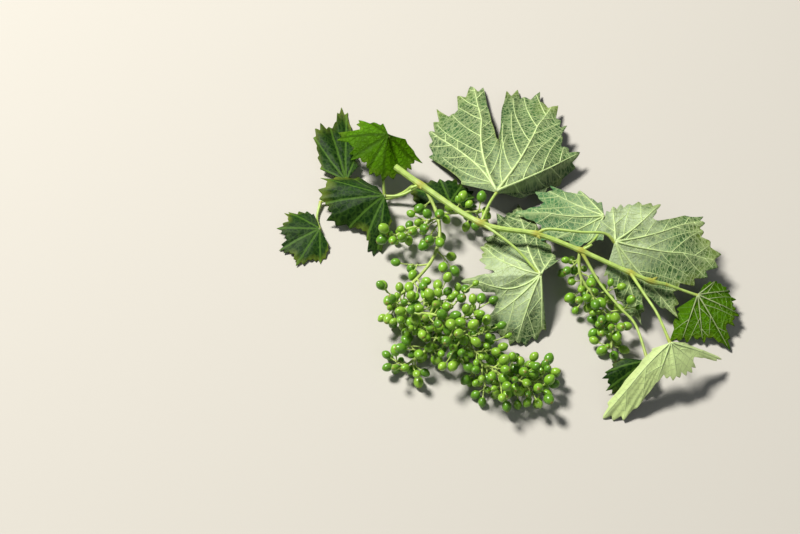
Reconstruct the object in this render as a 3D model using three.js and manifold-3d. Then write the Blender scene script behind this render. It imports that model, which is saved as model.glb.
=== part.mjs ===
// A cut shoot of a grapevine, lying on level ground with its leaves and unripe bunches.
// Lengths are in millimetres, angles in degrees, +Z is up and the ground is z = 0.
import * as THREE from 'three';
import { mergeVertices } from 'three/addons/utils/BufferGeometryUtils.js';
import Module from 'manifold-3d';

const wasm = await Module();
wasm.setup();

// Middle of the whole plant in plan, measured from where the shoot was laid out
const PLAN_CENTRE = [88.3, 35.1];

// The shoot, from its cut end to its broken tip
const SHOOT_LINE = [[-4, 95, 31], [18, 77, 30], [69, 36, 33], [116, 23, 36], [153, 7, 35], [193, -15, 36],
  [210, -22, 34], [222, -23, 31]];
const SHOOT_RADIUS = 2.7;
const SHOOT_TIP_RADIUS = 1.6;
const SHOOT_NODES = [0.11, 0.36, 0.55, 0.705, 0.88, 0.95];
const NODE_SWELLING = 0.8;
const NODE_SPREAD = 0.018;
const SHOOT_SIDES = 7;
const SHOOT_STEPS = 36;
const SHOOT_MARGIN = 1;
const SHOOT_SAMPLES = 110;

// A thin side shoot runs low under the western leaves
const SIDE_SHOOT_LINE = [[13.5, 79.6, 26.1], [2, 79, 12], [-14, 78, 6], [-40, 80, 5], [-70, 76, 4]];
const SIDE_SHOOT_RADIUS = 2.0;
const SIDE_SHOOT_TIP_RADIUS = 1.1;
const STEM_SAMPLES = 40;

// Short stubs where a tendril or a stalk broke off: foot and end
const STUBS = [
  { foot: [18, 77, 30], end: [9, 74, 29], radius: 1.3 },
  { foot: [153, 7, 35], end: [162, 11, 39], radius: 1.1 },
  { foot: [69, 36, 33], end: [73, 44, 36], radius: 1.2 },
];

// Leaf blades and stalks
const BLADE_THICKNESS = 1.4;
const BLADE_START = 2.8;
const JOINT_RADIUS = 3.3;
const BLADE_ROWS = 2;
const WIDE_PANEL = 28;
const TOOTH_DEPTH = 0.07;
const LOBE_SHARPNESS = 0.85;
const STALK_RADIUS = 1.3;
const STALK_FOOT_RADIUS = 1.9;
const STALK_SIDES = 5;
const STALK_STEPS = 6;
const STALK_FLARE = 6;
const STALK_SAMPLES = 24;
const LOWEST_BLADE = 0.8;

// Edges shorter than this are left out of the fused solids
const SHORTEST_EDGE = 0.06;

// Small step across a blade, for working out which way its surface faces
const NUDGE = 0.006;

// Where the spheres that stand for a blade lie: their steps across a panel and outwards
const BLADE_MARGIN = 2.2;
const MARGIN_ACROSS = 0.2;
const MARGIN_START = 0.08;
const MARGIN_OUT = 0.046;
const MARGIN_END = 1.001;

// Each leaf is a fan of ribs from the point where its stalk meets the blade.
// A rib is its heading, its reach in plan, the height of its tip, how far out the edge
// stays on the way to the next rib, and how much it bows upwards half way.
const LEAVES = {
  leaf_north: {
    joint: [84, 71, 26.6],
    ribs: [[8, 22, 15, 0.95, 0], [21, 74, 3, 0.9, -6], [33, 91, 20, 0.9, 3], [50, 106, 14, 0.93, 4],
      [69, 132, 6, 0.92, 4], [83.5, 126, 6, 0.46, 2], [92.5, 131, 1.4, 0.98, 3], [103, 127, 0.8, 0.84, 4],
      [115, 119, 0.8, 0.8, 4], [139, 78, 1, 0.8, 2], [150, 36, 14, 1, 0]],
    stalk: [[72.5, 45, 34.5], [77, 56, 32.2], [84, 71, 26.6]],
  },
  leaf_middle: {
    joint: [118, -14, 30],
    ribs: [[40, 22, 33, 0.9, 0], [72, 42, 16, 0.9, 0], [99, 90, 5, 0.9, 0], [120, 75, 8, 0.85, 0],
      [142, 60, 12, 0.54, 2], [177, 66, 15, 0.75, 4], [197, 48, 6, 0.85, 0], [212, 55, 3, 0.8, 0],
      [248, 56, 2, 0.8, 2], [277, 39, 4, 1, 2]],
    stalk: [[77.2, 27.9, 34.4], [84, 22, 36], [100, 7, 35], [118, -14, 30]],
  },
  leaf_east: {
    joint: [181, 11, 42],
    ribs: [[-112, 24, 24, 0.95, -1], [-70, 65, 10, 0.78, -4], [-47, 77, 10, 0.8, 0], [-29, 73, 20, 0.9, 1],
      [-7, 92, 30, 0.88, 2], [22, 82, 36, 0.54, 2], [42, 57, 40, 0.88, 2], [78, 40, 42, 0.92, 2],
      [104, 36, 40, 0.9, 1], [132, 20, 41, 1, 0]],
    stalk: [[118.7, 26.9, 37.6], [126, 25, 41], [152, 19, 46], [172, 17, 47], [181, 11, 42]],
  },
  leaf_folded: {
    joint: [176, 47, 25],
    ribs: [[90, 18, 22, 0.9, 0], [120, 36, 18, 0.85, 0], [139, 58, 15, 0.88, 0], [150, 66, 14, 0.8, 0],
      [173, 76, 15, 0.85, 3], [200, 58, 19, 0.9, 1], [232, 40, 25, 0.9, 0], [265, 26, 27, 1, 0]],
    stalk: [[156.3, 8.5, 33.3], [168, 26, 27], [176, 47, 25]],
  },
  leaf_south: {
    joint: [219, -84, 42],
    ribs: [[-170, 14, 38, 0.95, 0], [-154, 34, 26, 0.9, 1], [-138, 71, 1, 0.75, 5], [-112, 34, 16, 0.9, 2],
      [-84, 25, 24, 0.92, 1], [-32, 26, 26, 0.8, 1], [-2, 46, 14, 0.85, 3], [18, 14, 36, 1, 0]],
    stalk: [[196.3, -19.5, 37.6], [201, -40, 45], [210, -60, 47], [219, -84, 42]],
  },
  leaf_south_low: {
    joint: [204, -89, 21],
    ribs: [[-188, 22, 20, 0.9, 0], [-170, 36, 14, 0.88, 2], [-150, 40, 3, 0.85, 3], [-125, 32, 2, 0.85, 2],
      [-100, 24, 4, 0.9, 1], [-70, 12, 14, 1, 0]],
    stalk: [[159.7, 0.4, 32.5], [168, -20, 27], [184, -42, 24], [196, -57, 24], [204, -89, 21]],
  },
  leaf_far_east: {
    joint: [249, -31, 26],
    ribs: [[-160, 18, 12, 0.9, 0], [-115, 34, 2, 0.85, 0], [-80, 34, 2, 0.72, 0], [-56, 49, 0.8, 0.8, 2],
      [-17, 37, 12, 0.85, 2], [17, 31, 18, 0.9, 1], [42, 22, 22, 0.95, 0], [60, 12, 24, 1, 0]],
    stalk: [[222.9, -23.1, 30.7], [235, -27, 29], [249, -31, 26]],
  },
  leaf_west_high: {
    joint: [-10, 122, 42],
    ribs: [[110, 14, 40, 0.95, 0], [136, 24, 38, 0.88, 1], [173, 46, 30, 0.75, 2], [205, 42, 24, 0.85, 1],
      [236, 42, 20, 0.85, 1], [262, 42, 21, 0.8, 2], [292, 40, 15, 0.8, -4], [322, 40, 20, 0.8, -1],
      [350, 18, 36, 1, 0]],
    stalk: [[-13.9, 79.9, 7.3], [-15, 96, 22], [-12, 112, 34], [-10, 122, 42]],
  },
  leaf_west: {
    joint: [-13, 71, 23],
    ribs: [[112, 14, 11, 0.95, -1], [135, 30, 11, 0.9, 0], [158, 64, 14, 0.8, 3], [180, 52, 14, 0.85, 2],
      [216, 44, 3, 0.75, 3], [244, 40, 2, 0.85, 2], [262, 48, 1, 0.8, 3], [286, 24, 12, 1, 0]],
    stalk: [[11.4, 72.2, 26.6], [2, 70, 27], [-13, 71, 23]],
  },
  leaf_northwest: {
    joint: [-48, 95, 10],
    ribs: [[52, 16, 12, 0.95, 0], [72, 40, 8, 0.88, 1], [90, 85, 0.8, 0.8, 2], [104, 85, 0.8, 0.82, 2],
      [122, 56, 6, 0.85, 1], [150, 26, 9, 1, 0]],
    stalk: [[-43.8, 81.7, 4.9], [-48, 95, 10]],
  },
  leaf_southwest: {
    joint: [-70, 46, 8],
    ribs: [[110, 16, 8, 0.95, 0], [146, 34, 6, 0.85, 1], [178, 38, 4, 0.8, 1], [208, 40, 2, 0.8, 1],
      [240, 40, 1, 0.8, 1], [272, 32, 1, 0.88, 1], [300, 16, 5, 1, 0]],
    stalk: [[-71.4, 74.6, 4], [-73, 60, 5], [-70, 46, 8]],
  },
  leaf_tucked: {
    joint: [44, 72, 11],
    ribs: [[-16, 22, 5, 0.9, 0], [20, 24, 5, 0.85, 0], [62, 25, 5, 0.85, 0], [108, 28, 5, 0.85, 0],
      [150, 42, 3, 0.8, 1], [182, 34, 3, 1, 0]],
    stalk: [[29.1, 70.1, 27.4], [36, 70, 16], [44, 72, 11]],
  },
};

// Berries and the stems of a bunch
const BERRY_RADIUS = [3.7, 4.7];
const BERRY_STALK = [4.5, 7.5];
const BERRY_STALK_RADIUS = [0.4, 0.75];
const SIDE_STEM_RADIUS = [1.1, 0.95];
const SIDE_STEM_END = 0.9;
const BUNCH_STEM_SIDES = 4;
const CLEARANCE = 0.45;
const BERRY_OUTER = 1.07;
const TRIES = 9;

// How side stems leave an arm, and berries a side stem
const TURN = 137.5;
const TURN_SPREAD = 40;
const FORWARDS = 0.45;
const SHORTEST_REACH = 0.55;
const END_MARGIN = 6;
const BERRY_FEET = [0.4, 0.95];
const FOOT_SPREAD = 0.6;
const SPIN_SPREAD = 120;
const SPIN_STEP = 50;
const TIP_LEAN = [0, 0.3];
const LEAN = [0.7, 1.3];
const STEM_MARKS = 4;
const TANGENT = 0.01;

// Bunches: each arm is a length of stalk that carries side stems, and each side stem carries berries.
// reach is the length of the side stems at the arm's start, middle and end.
const BUNCHES = {
  bunch_stalk: {
    line: [[24.6, 68.6, 26.6], [32, 51, 23], [34, 29, 20], [26, 5, 19], [7, -20, 20], [-7, -34, 21]],
    radius: [1.5, 1.3], stems: 9, reach: [5, 22, 12], crowd: 3, top: 34, seed: 11,
  },
  bunch_left_arm: {
    line: [[30.3, 47.2, 22.1], [18, 41, 20], [6, 39, 18], [-9, 31, 13]],
    radius: [1.1, 0.8], stems: 4, reach: [6, 12, 9], crowd: 3, top: 30, seed: 22,
  },
  bunch_right_arm: {
    line: [[33.5, 51.6, 22.5], [47, 54, 20], [60, 56, 19], [71, 56, 19]],
    radius: [1.1, 0.8], stems: 4, reach: [4, 8, 9], crowd: 3, top: 32, seed: 33,
  },
  bunch_shoulder: {
    line: [[-6, -35.9, 21.4], [11, -47, 25], [38, -53, 28], [54, -72, 26]],
    radius: [1.4, 1.1], stems: 13, reach: [12, 34, 26], crowd: 5, top: 50, seed: 44,
  },
  bunch_tail: {
    line: [[54.3, -72.5, 25.9], [69, -93, 20], [95, -104, 15], [119, -103, 11]],
    radius: [1.2, 0.8], stems: 10, reach: [24, 23, 12], crowd: 5, top: 38, seed: 55,
  },
  bunch_low_wing: {
    line: [[30.7, -52.7, 26.1], [30, -65, 16], [22, -76, 15], [12, -84, 13], [0, -92, 10]],
    radius: [1.0, 0.8], stems: 6, reach: [12, 15, 9], crowd: 3, top: 28, seed: 66,
  },
  shaded_bunch: {
    line: [[151.3, 5, 32.8], [153, -12, 23], [165, -28, 17], [178, -46, 13], [176, -72, 9]],
    radius: [1.2, 0.8], stems: 8, reach: [8, 20, 12], crowd: 4, top: 30, seed: 77,
  },
};

const green = {
  shoot: new THREE.MeshStandardMaterial({ color: 0xa3ad5c, roughness: 0.55, metalness: 0 }),
  blade: new THREE.MeshStandardMaterial({ color: 0x5f8c4c, roughness: 0.5, metalness: 0 }),
  berry: new THREE.MeshStandardMaterial({ color: 0x76a82e, roughness: 0.35, metalness: 0 }),
};

const radians = THREE.MathUtils.degToRad;
const group = new THREE.Group();
group.position.set(-PLAN_CENTRE[0], -PLAN_CENTRE[1], 0);

// Numbers in a fixed order for each seed, from 0 up to 1
function seeded(seed) {
  let state = seed;
  return () => {
    state = (Math.imul(state, 1664525) + 1013904223) >>> 0;
    return state / 4294967296;
  };
}

function toSolid(geometry) {
  geometry.deleteAttribute('normal');
  geometry.deleteAttribute('uv');
  const merged = mergeVertices(geometry, 1e-4);
  return new wasm.Manifold(new wasm.Mesh({
    numProp: 3,
    vertProperties: new Float32Array(merged.attributes.position.array),
    triVerts: new Uint32Array(merged.index.array),
  }));
}

function join(solids) {
  return solids.reduce((whole, solid) => whole.add(solid));
}

// Only the outer skin is kept, so a hollow that fusing sealed is filled
function outerSkin(solid) {
  return solid.decompose().reduce((largest, body) => (body.volume() > largest.volume() ? body : largest));
}

function addNode(name, solid, material) {
  const mesh = outerSkin(solid.simplify(SHORTEST_EDGE)).getMesh();
  const geometry = new THREE.BufferGeometry();
  geometry.setAttribute('position', new THREE.BufferAttribute(mesh.vertProperties, 3));
  geometry.setIndex(new THREE.BufferAttribute(mesh.triVerts, 1));
  geometry.computeVertexNormals();
  const node = new THREE.Mesh(geometry, material);
  node.name = name;
  group.add(node);
}

function curveThrough(points) {
  return new THREE.CatmullRomCurve3(points.map((p) => new THREE.Vector3(...p)), false, 'catmullrom', 0.5);
}

// A cylinder bent along a curve, with its radius given along the way
function stem(curve, radiusAt, sides, steps) {
  const frames = curve.computeFrenetFrames(steps);
  const geometry = new THREE.CylinderGeometry(1, 1, 1, sides, steps, false);
  const position = geometry.attributes.position;
  const point = new THREE.Vector3();
  for (let i = 0; i < position.count; i += 1) {
    const along = position.getY(i) + 0.5;
    const step = Math.round(along * steps);
    const radius = radiusAt(along);
    point.copy(curve.getPointAt(along))
      .addScaledVector(frames.normals[step], position.getX(i) * radius)
      .addScaledVector(frames.binormals[step], -position.getZ(i) * radius);
    position.setXYZ(i, point.x, point.y, point.z);
  }
  return toSolid(geometry);
}

function straightStem(from, to, [foot, tip], sides) {
  return stem(new THREE.LineCurve3(from, to), (t) => foot + (tip - foot) * t, sides, 1);
}

// A faceted ball whose first face looks towards a point
function ball(centre, radius, towards) {
  const geometry = new THREE.IcosahedronGeometry(radius, 0);
  const corner = [0, 1, 2].map((i) => new THREE.Vector3().fromBufferAttribute(geometry.attributes.position, i));
  const face = corner[0].add(corner[1]).add(corner[2]).normalize();
  const turn = new THREE.Quaternion().setFromUnitVectors(face, towards.clone().sub(centre).normalize());
  return toSolid(geometry.applyQuaternion(turn).translate(centre.x, centre.y, centre.z));
}

// Obstacles are spheres that berries and their stems keep clear of
const obstacles = [];

function block(centre, radius, owner, isBerry) {
  obstacles.push({ centre: centre.clone(), radius, owner, isBerry });
}

function isClear(centre, radius, owner, isBerry) {
  return obstacles.every((other) => {
    if (other.owner === owner && !isBerry && !other.isBerry) return true;
    return centre.distanceTo(other.centre) > radius + other.radius + CLEARANCE;
  });
}

function blockAlong(curve, radius, owner, samples) {
  for (let i = 0; i <= samples; i += 1) block(curve.getPoint(i / samples), radius, owner, false);
}

// Shoot
function makeShoot() {
  const curve = curveThrough(SHOOT_LINE);
  const radiusAt = (t) => {
    const taper = SHOOT_RADIUS + (SHOOT_TIP_RADIUS - SHOOT_RADIUS) * t;
    const swelling = SHOOT_NODES.reduce((sum, at) => sum + Math.exp(-(((t - at) / NODE_SPREAD) ** 2)), 0);
    return taper + NODE_SWELLING * swelling;
  };
  const stubs = STUBS.map(({ foot, end, radius }) => straightStem(
    new THREE.Vector3(...foot), new THREE.Vector3(...end), [radius, radius], STALK_SIDES));
  addNode('shoot', join([stem(curve, radiusAt, SHOOT_SIDES, SHOOT_STEPS), ...stubs]), green.shoot);
  blockAlong(curve, SHOOT_RADIUS + SHOOT_MARGIN, 'shoot', SHOOT_SAMPLES);
}

function makeSideShoot() {
  const curve = curveThrough(SIDE_SHOOT_LINE);
  const radiusAt = (t) => SIDE_SHOOT_RADIUS + (SIDE_SHOOT_TIP_RADIUS - SIDE_SHOOT_RADIUS) * t;
  addNode('side_shoot', stem(curve, radiusAt, STALK_SIDES, STALK_STEPS * 2), green.shoot);
  blockAlong(curve, SIDE_SHOOT_RADIUS, 'side_shoot', STEM_SAMPLES);
}

// A rib's point at a distance from the joint in plan
function ribPoint(leaf, rib, distance) {
  const [heading, reach, height, , bow] = rib;
  const [x, y, z] = leaf.joint;
  const share = distance / reach;
  return new THREE.Vector3(
    x + distance * Math.cos(radians(heading)),
    y + distance * Math.sin(radians(heading)),
    z + (height - z) * share + bow * 4 * share * (1 - share));
}

// Teeth between a rib and the next: two where the edge is long, and one where it is short
function teethOf(leaf, panel) {
  const [near, far] = [leaf.ribs[panel], leaf.ribs[panel + 1]];
  return radians(far[0] - near[0]) * (near[1] + far[1]) / 2 > WIDE_PANEL ? 2 : 1;
}

// How far out the edge lies between two ribs, with teeth
function edgeAt(rib, between, teeth, depth) {
  const lobe = 1 - (1 - rib[3]) * Math.sin(Math.PI * between) ** LOBE_SHARPNESS;
  const tooth = Math.abs(2 * ((between * teeth) % 1) - 1);
  return lobe - depth * (1 - tooth);
}

// The middle surface of a blade: across runs from the first rib to the last, out from the joint to the edge
function bladePoint(leaf, across, out, depth = TOOTH_DEPTH) {
  const panels = leaf.ribs.length - 1;
  const panel = Math.min(Math.floor(across * panels), panels - 1);
  const between = across * panels - panel;
  const edge = edgeAt(leaf.ribs[panel], between, teethOf(leaf, panel), depth * out * out);
  const [near, far] = [panel, panel + 1].map((i) => {
    const distance = BLADE_START + (leaf.ribs[i][1] * edge - BLADE_START) * out;
    return ribPoint(leaf, leaf.ribs[i], distance);
  });
  const point = near.lerp(far, between);
  point.z = Math.max(point.z, LOWEST_BLADE);
  return point;
}

// Where the columns of a blade fall: at the ribs, and at each tooth and notch between them
function columnStops(leaf) {
  const panels = leaf.ribs.length - 1;
  const stops = [0];
  for (let panel = 0; panel < panels; panel += 1) {
    const columns = teethOf(leaf, panel) * 2;
    for (let i = 1; i <= columns; i += 1) stops.push((panel + i / columns) / panels);
  }
  return stops;
}

// A flat box bent into the blade
function blade(leaf) {
  const stops = columnStops(leaf);
  const columns = stops.length - 1;
  const geometry = new THREE.BoxGeometry(1, 1, 1, columns, BLADE_ROWS, 1);
  const position = geometry.attributes.position;
  for (let i = 0; i < position.count; i += 1) {
    const across = stops[Math.round((position.getX(i) + 0.5) * columns)];
    const out = position.getY(i) + 0.5;
    const low = Math.max(across - NUDGE, 0);
    const high = Math.min(across + NUDGE, 1);
    const along = bladePoint(leaf, high, out, 0).sub(bladePoint(leaf, low, out, 0));
    const outwards = bladePoint(leaf, across, Math.min(out + NUDGE, 1), 0)
      .sub(bladePoint(leaf, across, Math.max(out - NUDGE, 0), 0));
    const normal = along.cross(outwards).normalize();
    const point = bladePoint(leaf, across, out)
      .addScaledVector(normal, position.getZ(i) * BLADE_THICKNESS);
    position.setXYZ(i, point.x, point.y, point.z);
  }
  return toSolid(geometry);
}

function makeLeaf(name, leaf) {
  const curve = curveThrough(leaf.stalk);
  const joint = new THREE.Vector3(...leaf.joint);
  const radiusAt = (t) => STALK_RADIUS + (STALK_FOOT_RADIUS - STALK_RADIUS) * (1 - t) ** STALK_FLARE;
  const parts = [
    blade(leaf),
    stem(curve, radiusAt, STALK_SIDES, STALK_STEPS),
    ball(joint, JOINT_RADIUS, curve.getPoint(0.9)),
  ];
  addNode(name, join(parts), green.blade);
  blockAlong(curve, STALK_RADIUS, name, STALK_SAMPLES);
  for (let panel = 0; panel < leaf.ribs.length - 1; panel += 1) {
    for (let share = 0; share < 1; share += MARGIN_ACROSS) {
      for (let out = MARGIN_START; out < MARGIN_END; out += MARGIN_OUT) {
        const across = (panel + share) / (leaf.ribs.length - 1);
        block(bladePoint(leaf, across, out, 0), BLADE_MARGIN, name, false);
      }
    }
  }
}

// The length of the side stems along an arm
function reachAt([start, middle, end], t) {
  return t < 0.5 ? start + (middle - start) * t * 2 : middle + (end - middle) * (t * 2 - 1);
}

function between([low, high], share) {
  return low + (high - low) * share;
}

// Side stems leave the arm round it by a fixed turn, and berries leave each side stem in the same way
function growArm(name, arm) {
  const random = seeded(arm.seed);
  const curve = curveThrough(arm.line);
  const up = new THREE.Vector3(0, 0, 1);
  const grown = { stems: [], berries: [] };
  for (let i = 0; i < arm.stems; i += 1) {
    const t = (i + 0.5) / arm.stems;
    const foot = curve.getPoint(t);
    const forwards = curve.getPoint(Math.min(t + TANGENT, 1)).sub(curve.getPoint(t - TANGENT)).normalize();
    const sideways = new THREE.Vector3().crossVectors(forwards, up).normalize();
    const upwards = new THREE.Vector3().crossVectors(sideways, forwards);
    const turn = radians(i * TURN + TURN_SPREAD * random());
    const heading = forwards.clone().multiplyScalar(FORWARDS)
      .addScaledVector(sideways, Math.cos(turn))
      .addScaledVector(upwards, Math.sin(turn)).normalize();
    const end = foot.clone().addScaledVector(heading, reachAt(arm.reach, t) * between([SHORTEST_REACH, 1], random()));
    end.z = Math.min(Math.max(end.z, END_MARGIN), arm.top - END_MARGIN);
    heading.copy(end).sub(foot).normalize();
    const across = new THREE.Vector3().crossVectors(heading, up).normalize();
    const over = new THREE.Vector3().crossVectors(across, heading);
    const berries = [];
    for (let j = 0; j < arm.crowd; j += 1) {
      let placed = false;
      for (let attempt = 0; attempt < TRIES; attempt += 1) {
        const share = (j - 1 + FOOT_SPREAD * random()) / Math.max(arm.crowd - 1, 1);
        const spin = radians(j * TURN + SPIN_SPREAD * random() + SPIN_STEP * attempt);
        const lean = between(j === 0 ? TIP_LEAN : LEAN, random());
        const radius = between(BERRY_RADIUS, random());
        const length = between(BERRY_STALK, random());
        if (!placed) {
          const from = foot.clone().lerp(end, j === 0 ? 1 : between(BERRY_FEET, share));
          const centre = from.clone()
            .addScaledVector(heading, Math.cos(lean) * (length + radius))
            .addScaledVector(across, Math.sin(lean) * Math.cos(spin) * (length + radius))
            .addScaledVector(over, Math.sin(lean) * Math.sin(spin) * (length + radius));
          centre.z = Math.max(centre.z, radius * BERRY_OUTER);
          const nearer = from.clone().lerp(centre, 0.25);
          const further = from.clone().lerp(centre, 0.5);
          if (centre.z < arm.top && isClear(centre, radius * BERRY_OUTER, name, true)
              && isClear(nearer, BERRY_STALK_RADIUS[1], name, false)
              && isClear(further, BERRY_STALK_RADIUS[1], name, false)
              && isClear(from, SIDE_STEM_RADIUS[0], name, false)) {
            placed = true;
            block(centre, radius * BERRY_OUTER, name, true);
            block(nearer, BERRY_STALK_RADIUS[1], name, false);
            block(further, BERRY_STALK_RADIUS[1], name, false);
            berries.push({ from, centre, radius });
          }
        }
      }
    }
    if (berries.length > 0) {
      const last = Math.max(...berries.map((berry) => foot.distanceTo(berry.from)));
      const tip = foot.clone().addScaledVector(heading, last + SIDE_STEM_END);
      grown.stems.push({ foot, tip });
      grown.berries.push(...berries);
      for (let k = 1; k <= STEM_MARKS; k += 1) {
        block(foot.clone().lerp(tip, k / STEM_MARKS), SIDE_STEM_RADIUS[0], name, false);
      }
    }
  }
  return grown;
}

function makeBunch(name, arm) {
  const curve = curveThrough(arm.line);
  const grown = growArm(name, arm);
  const parts = [stem(curve, (t) => between(arm.radius, t), BUNCH_STEM_SIDES, arm.line.length + 2)];
  for (const { foot, tip } of grown.stems) parts.push(straightStem(foot, tip, SIDE_STEM_RADIUS, 3));
  for (const { from, centre, radius } of grown.berries) {
    parts.push(straightStem(from, centre, BERRY_STALK_RADIUS, 3));
    parts.push(ball(centre, radius * BERRY_OUTER, from));
  }
  addNode(name, join(parts), green.berry);
}

makeShoot();
makeSideShoot();
for (const [name, leaf] of Object.entries(LEAVES)) makeLeaf(name, leaf);
for (const [name, arm] of Object.entries(BUNCHES)) blockAlong(curveThrough(arm.line), arm.radius[0], name, STEM_SAMPLES);
for (const [name, arm] of Object.entries(BUNCHES)) makeBunch(name, arm);

export default group;
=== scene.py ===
"""Dresses the solids of a cut grapevine shoot: toothed blades with veins, stems, and unripe berries.

Lengths are in millimetres as the shoot was laid out, with x to the east, y to the north and z up from the
ground. place() turns such points into the frame's metres.
"""
import math
from functools import partial

import bmesh
import bpy
import numpy as np
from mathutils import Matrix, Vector
from mathutils.bvhtree import BVHTree


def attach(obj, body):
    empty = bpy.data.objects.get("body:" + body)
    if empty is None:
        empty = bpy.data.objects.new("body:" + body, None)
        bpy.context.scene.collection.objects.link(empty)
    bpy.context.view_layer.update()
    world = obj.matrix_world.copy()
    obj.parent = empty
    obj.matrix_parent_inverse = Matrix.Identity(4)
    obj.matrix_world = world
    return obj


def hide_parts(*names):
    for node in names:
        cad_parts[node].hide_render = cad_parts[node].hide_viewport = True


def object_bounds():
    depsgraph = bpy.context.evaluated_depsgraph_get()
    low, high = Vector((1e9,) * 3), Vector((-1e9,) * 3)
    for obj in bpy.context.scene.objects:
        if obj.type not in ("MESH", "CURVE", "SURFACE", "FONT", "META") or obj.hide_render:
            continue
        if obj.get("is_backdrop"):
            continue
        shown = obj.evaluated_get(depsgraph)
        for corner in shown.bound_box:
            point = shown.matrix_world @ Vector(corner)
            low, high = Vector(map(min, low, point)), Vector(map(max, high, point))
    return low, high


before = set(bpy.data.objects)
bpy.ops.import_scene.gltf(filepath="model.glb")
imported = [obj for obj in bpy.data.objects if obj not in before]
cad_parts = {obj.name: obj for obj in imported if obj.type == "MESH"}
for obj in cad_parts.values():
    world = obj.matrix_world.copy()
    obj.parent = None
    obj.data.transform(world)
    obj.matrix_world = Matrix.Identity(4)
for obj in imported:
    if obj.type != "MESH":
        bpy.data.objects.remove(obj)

bl_info = {
    "name": "Cut grapevine shoot",
    "version": (1, 0, 0),
    "blender": (4, 5, 0),
    "location": "3D View > Sidebar > Vine",
    "description": "Builds the blades, veins, stems and berries of a cut grapevine shoot on its solids",
    "category": "Mesh",
}

SOLID_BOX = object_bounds()
MM = 0.001

# Corners that are this near become one
MERGE = MM * 0.001

# UV maps are in decimetres
UV_PER_MM = 0.01

# Middle of the whole plant in plan, measured from where the shoot was laid out
PLAN_CENTRE = (88.3, 35.1)
CURVE_MARKS = 401

# The shoot, from its cut end to its broken tip, with its swollen joints as shares of its length.
# A grid is its steps along a stem and round it.
SHOOT_LINE = [(-4, 95, 31), (18, 77, 30), (69, 36, 33), (116, 23, 36), (153, 7, 35), (193, -15, 36),
              (210, -22, 34), (222, -23, 31)]
SHOOT_RADII = (2.7, 1.6)
SHOOT_GRID = (260, 48)
SHOOT_NODES = (0.11, 0.36, 0.55, 0.705, 0.88, 0.95)
NODE_SWELLING = 0.8
NODE_LOP = 0.35
NODE_SPREAD = 0.018
RIDGES = 9
FINER_RIDGES = 0.5
RIDGE_TWIST = 9
SHOOT_MARGIN = 1
SHOOT_SAMPLES = 110

# A thin side shoot runs low under the western leaves
SIDE_SHOOT_LINE = [(13.5, 79.6, 26.1), (2, 79, 12), (-14, 78, 6), (-40, 80, 5), (-70, 76, 4)]
SIDE_SHOOT_RADII = (2.0, 1.1)
SIDE_SHOOT_GRID = (80, 24)
SIDE_RIDGE = 0.06
STEM_SAMPLES = 40

# A stalk leaves the shoot from a joint that is this near
STEM_MARKS_FINE = 400
JOINT_NEAR = 13

# Short stubs where a tendril or a stalk broke off: foot, end and radius. Buds sit at the shoot's joints.
STUBS = [((18, 77, 30), (9, 74, 29), 1.3), ((153, 7, 35), (162, 11, 39), 1.1),
         ((69, 36, 33), (73, 44, 36), 1.2)]
STUB_PROFILE = (1.5, 1.1, 1.0, 0.95, 1.05)
BUD_START = 1.6
BUD_LENGTH = 5.2
BUD_LIFT = 0.35
BUD_PROFILE = (1.2, 1.5, 1.45, 1.1, 0.7, 0.25)

# Stalks of leaves: swollen at both ends, with a groove along them
STALK_RADIUS = 1.3
STALK_FOOT_RADIUS = 1.9
STALK_FLARE = 6
STALK_HEAD = 0.8
STALK_GROOVE = 0.16
STALK_GROOVE_WIDTH = 0.5
STALK_END = 0.09
STALK_FAR_END = 0.6
STALK_SINKS = 2.6
STALK_SAMPLES = 24
STALK_GRID = (70, 14)
SMALLEST_STALK = 0.9

# Where the spheres that stand for a blade lie: their steps across a panel and outwards
BLADE_START = 2.8
LOWEST_BLADE = 0.8
LOBE_SHARPNESS = 0.85
BLADE_MARGIN = 2.2
MARGIN_ACROSS = 5
MARGIN_START = 0.08
MARGIN_OUT = 0.046
MARGIN_ROWS = 21

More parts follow.
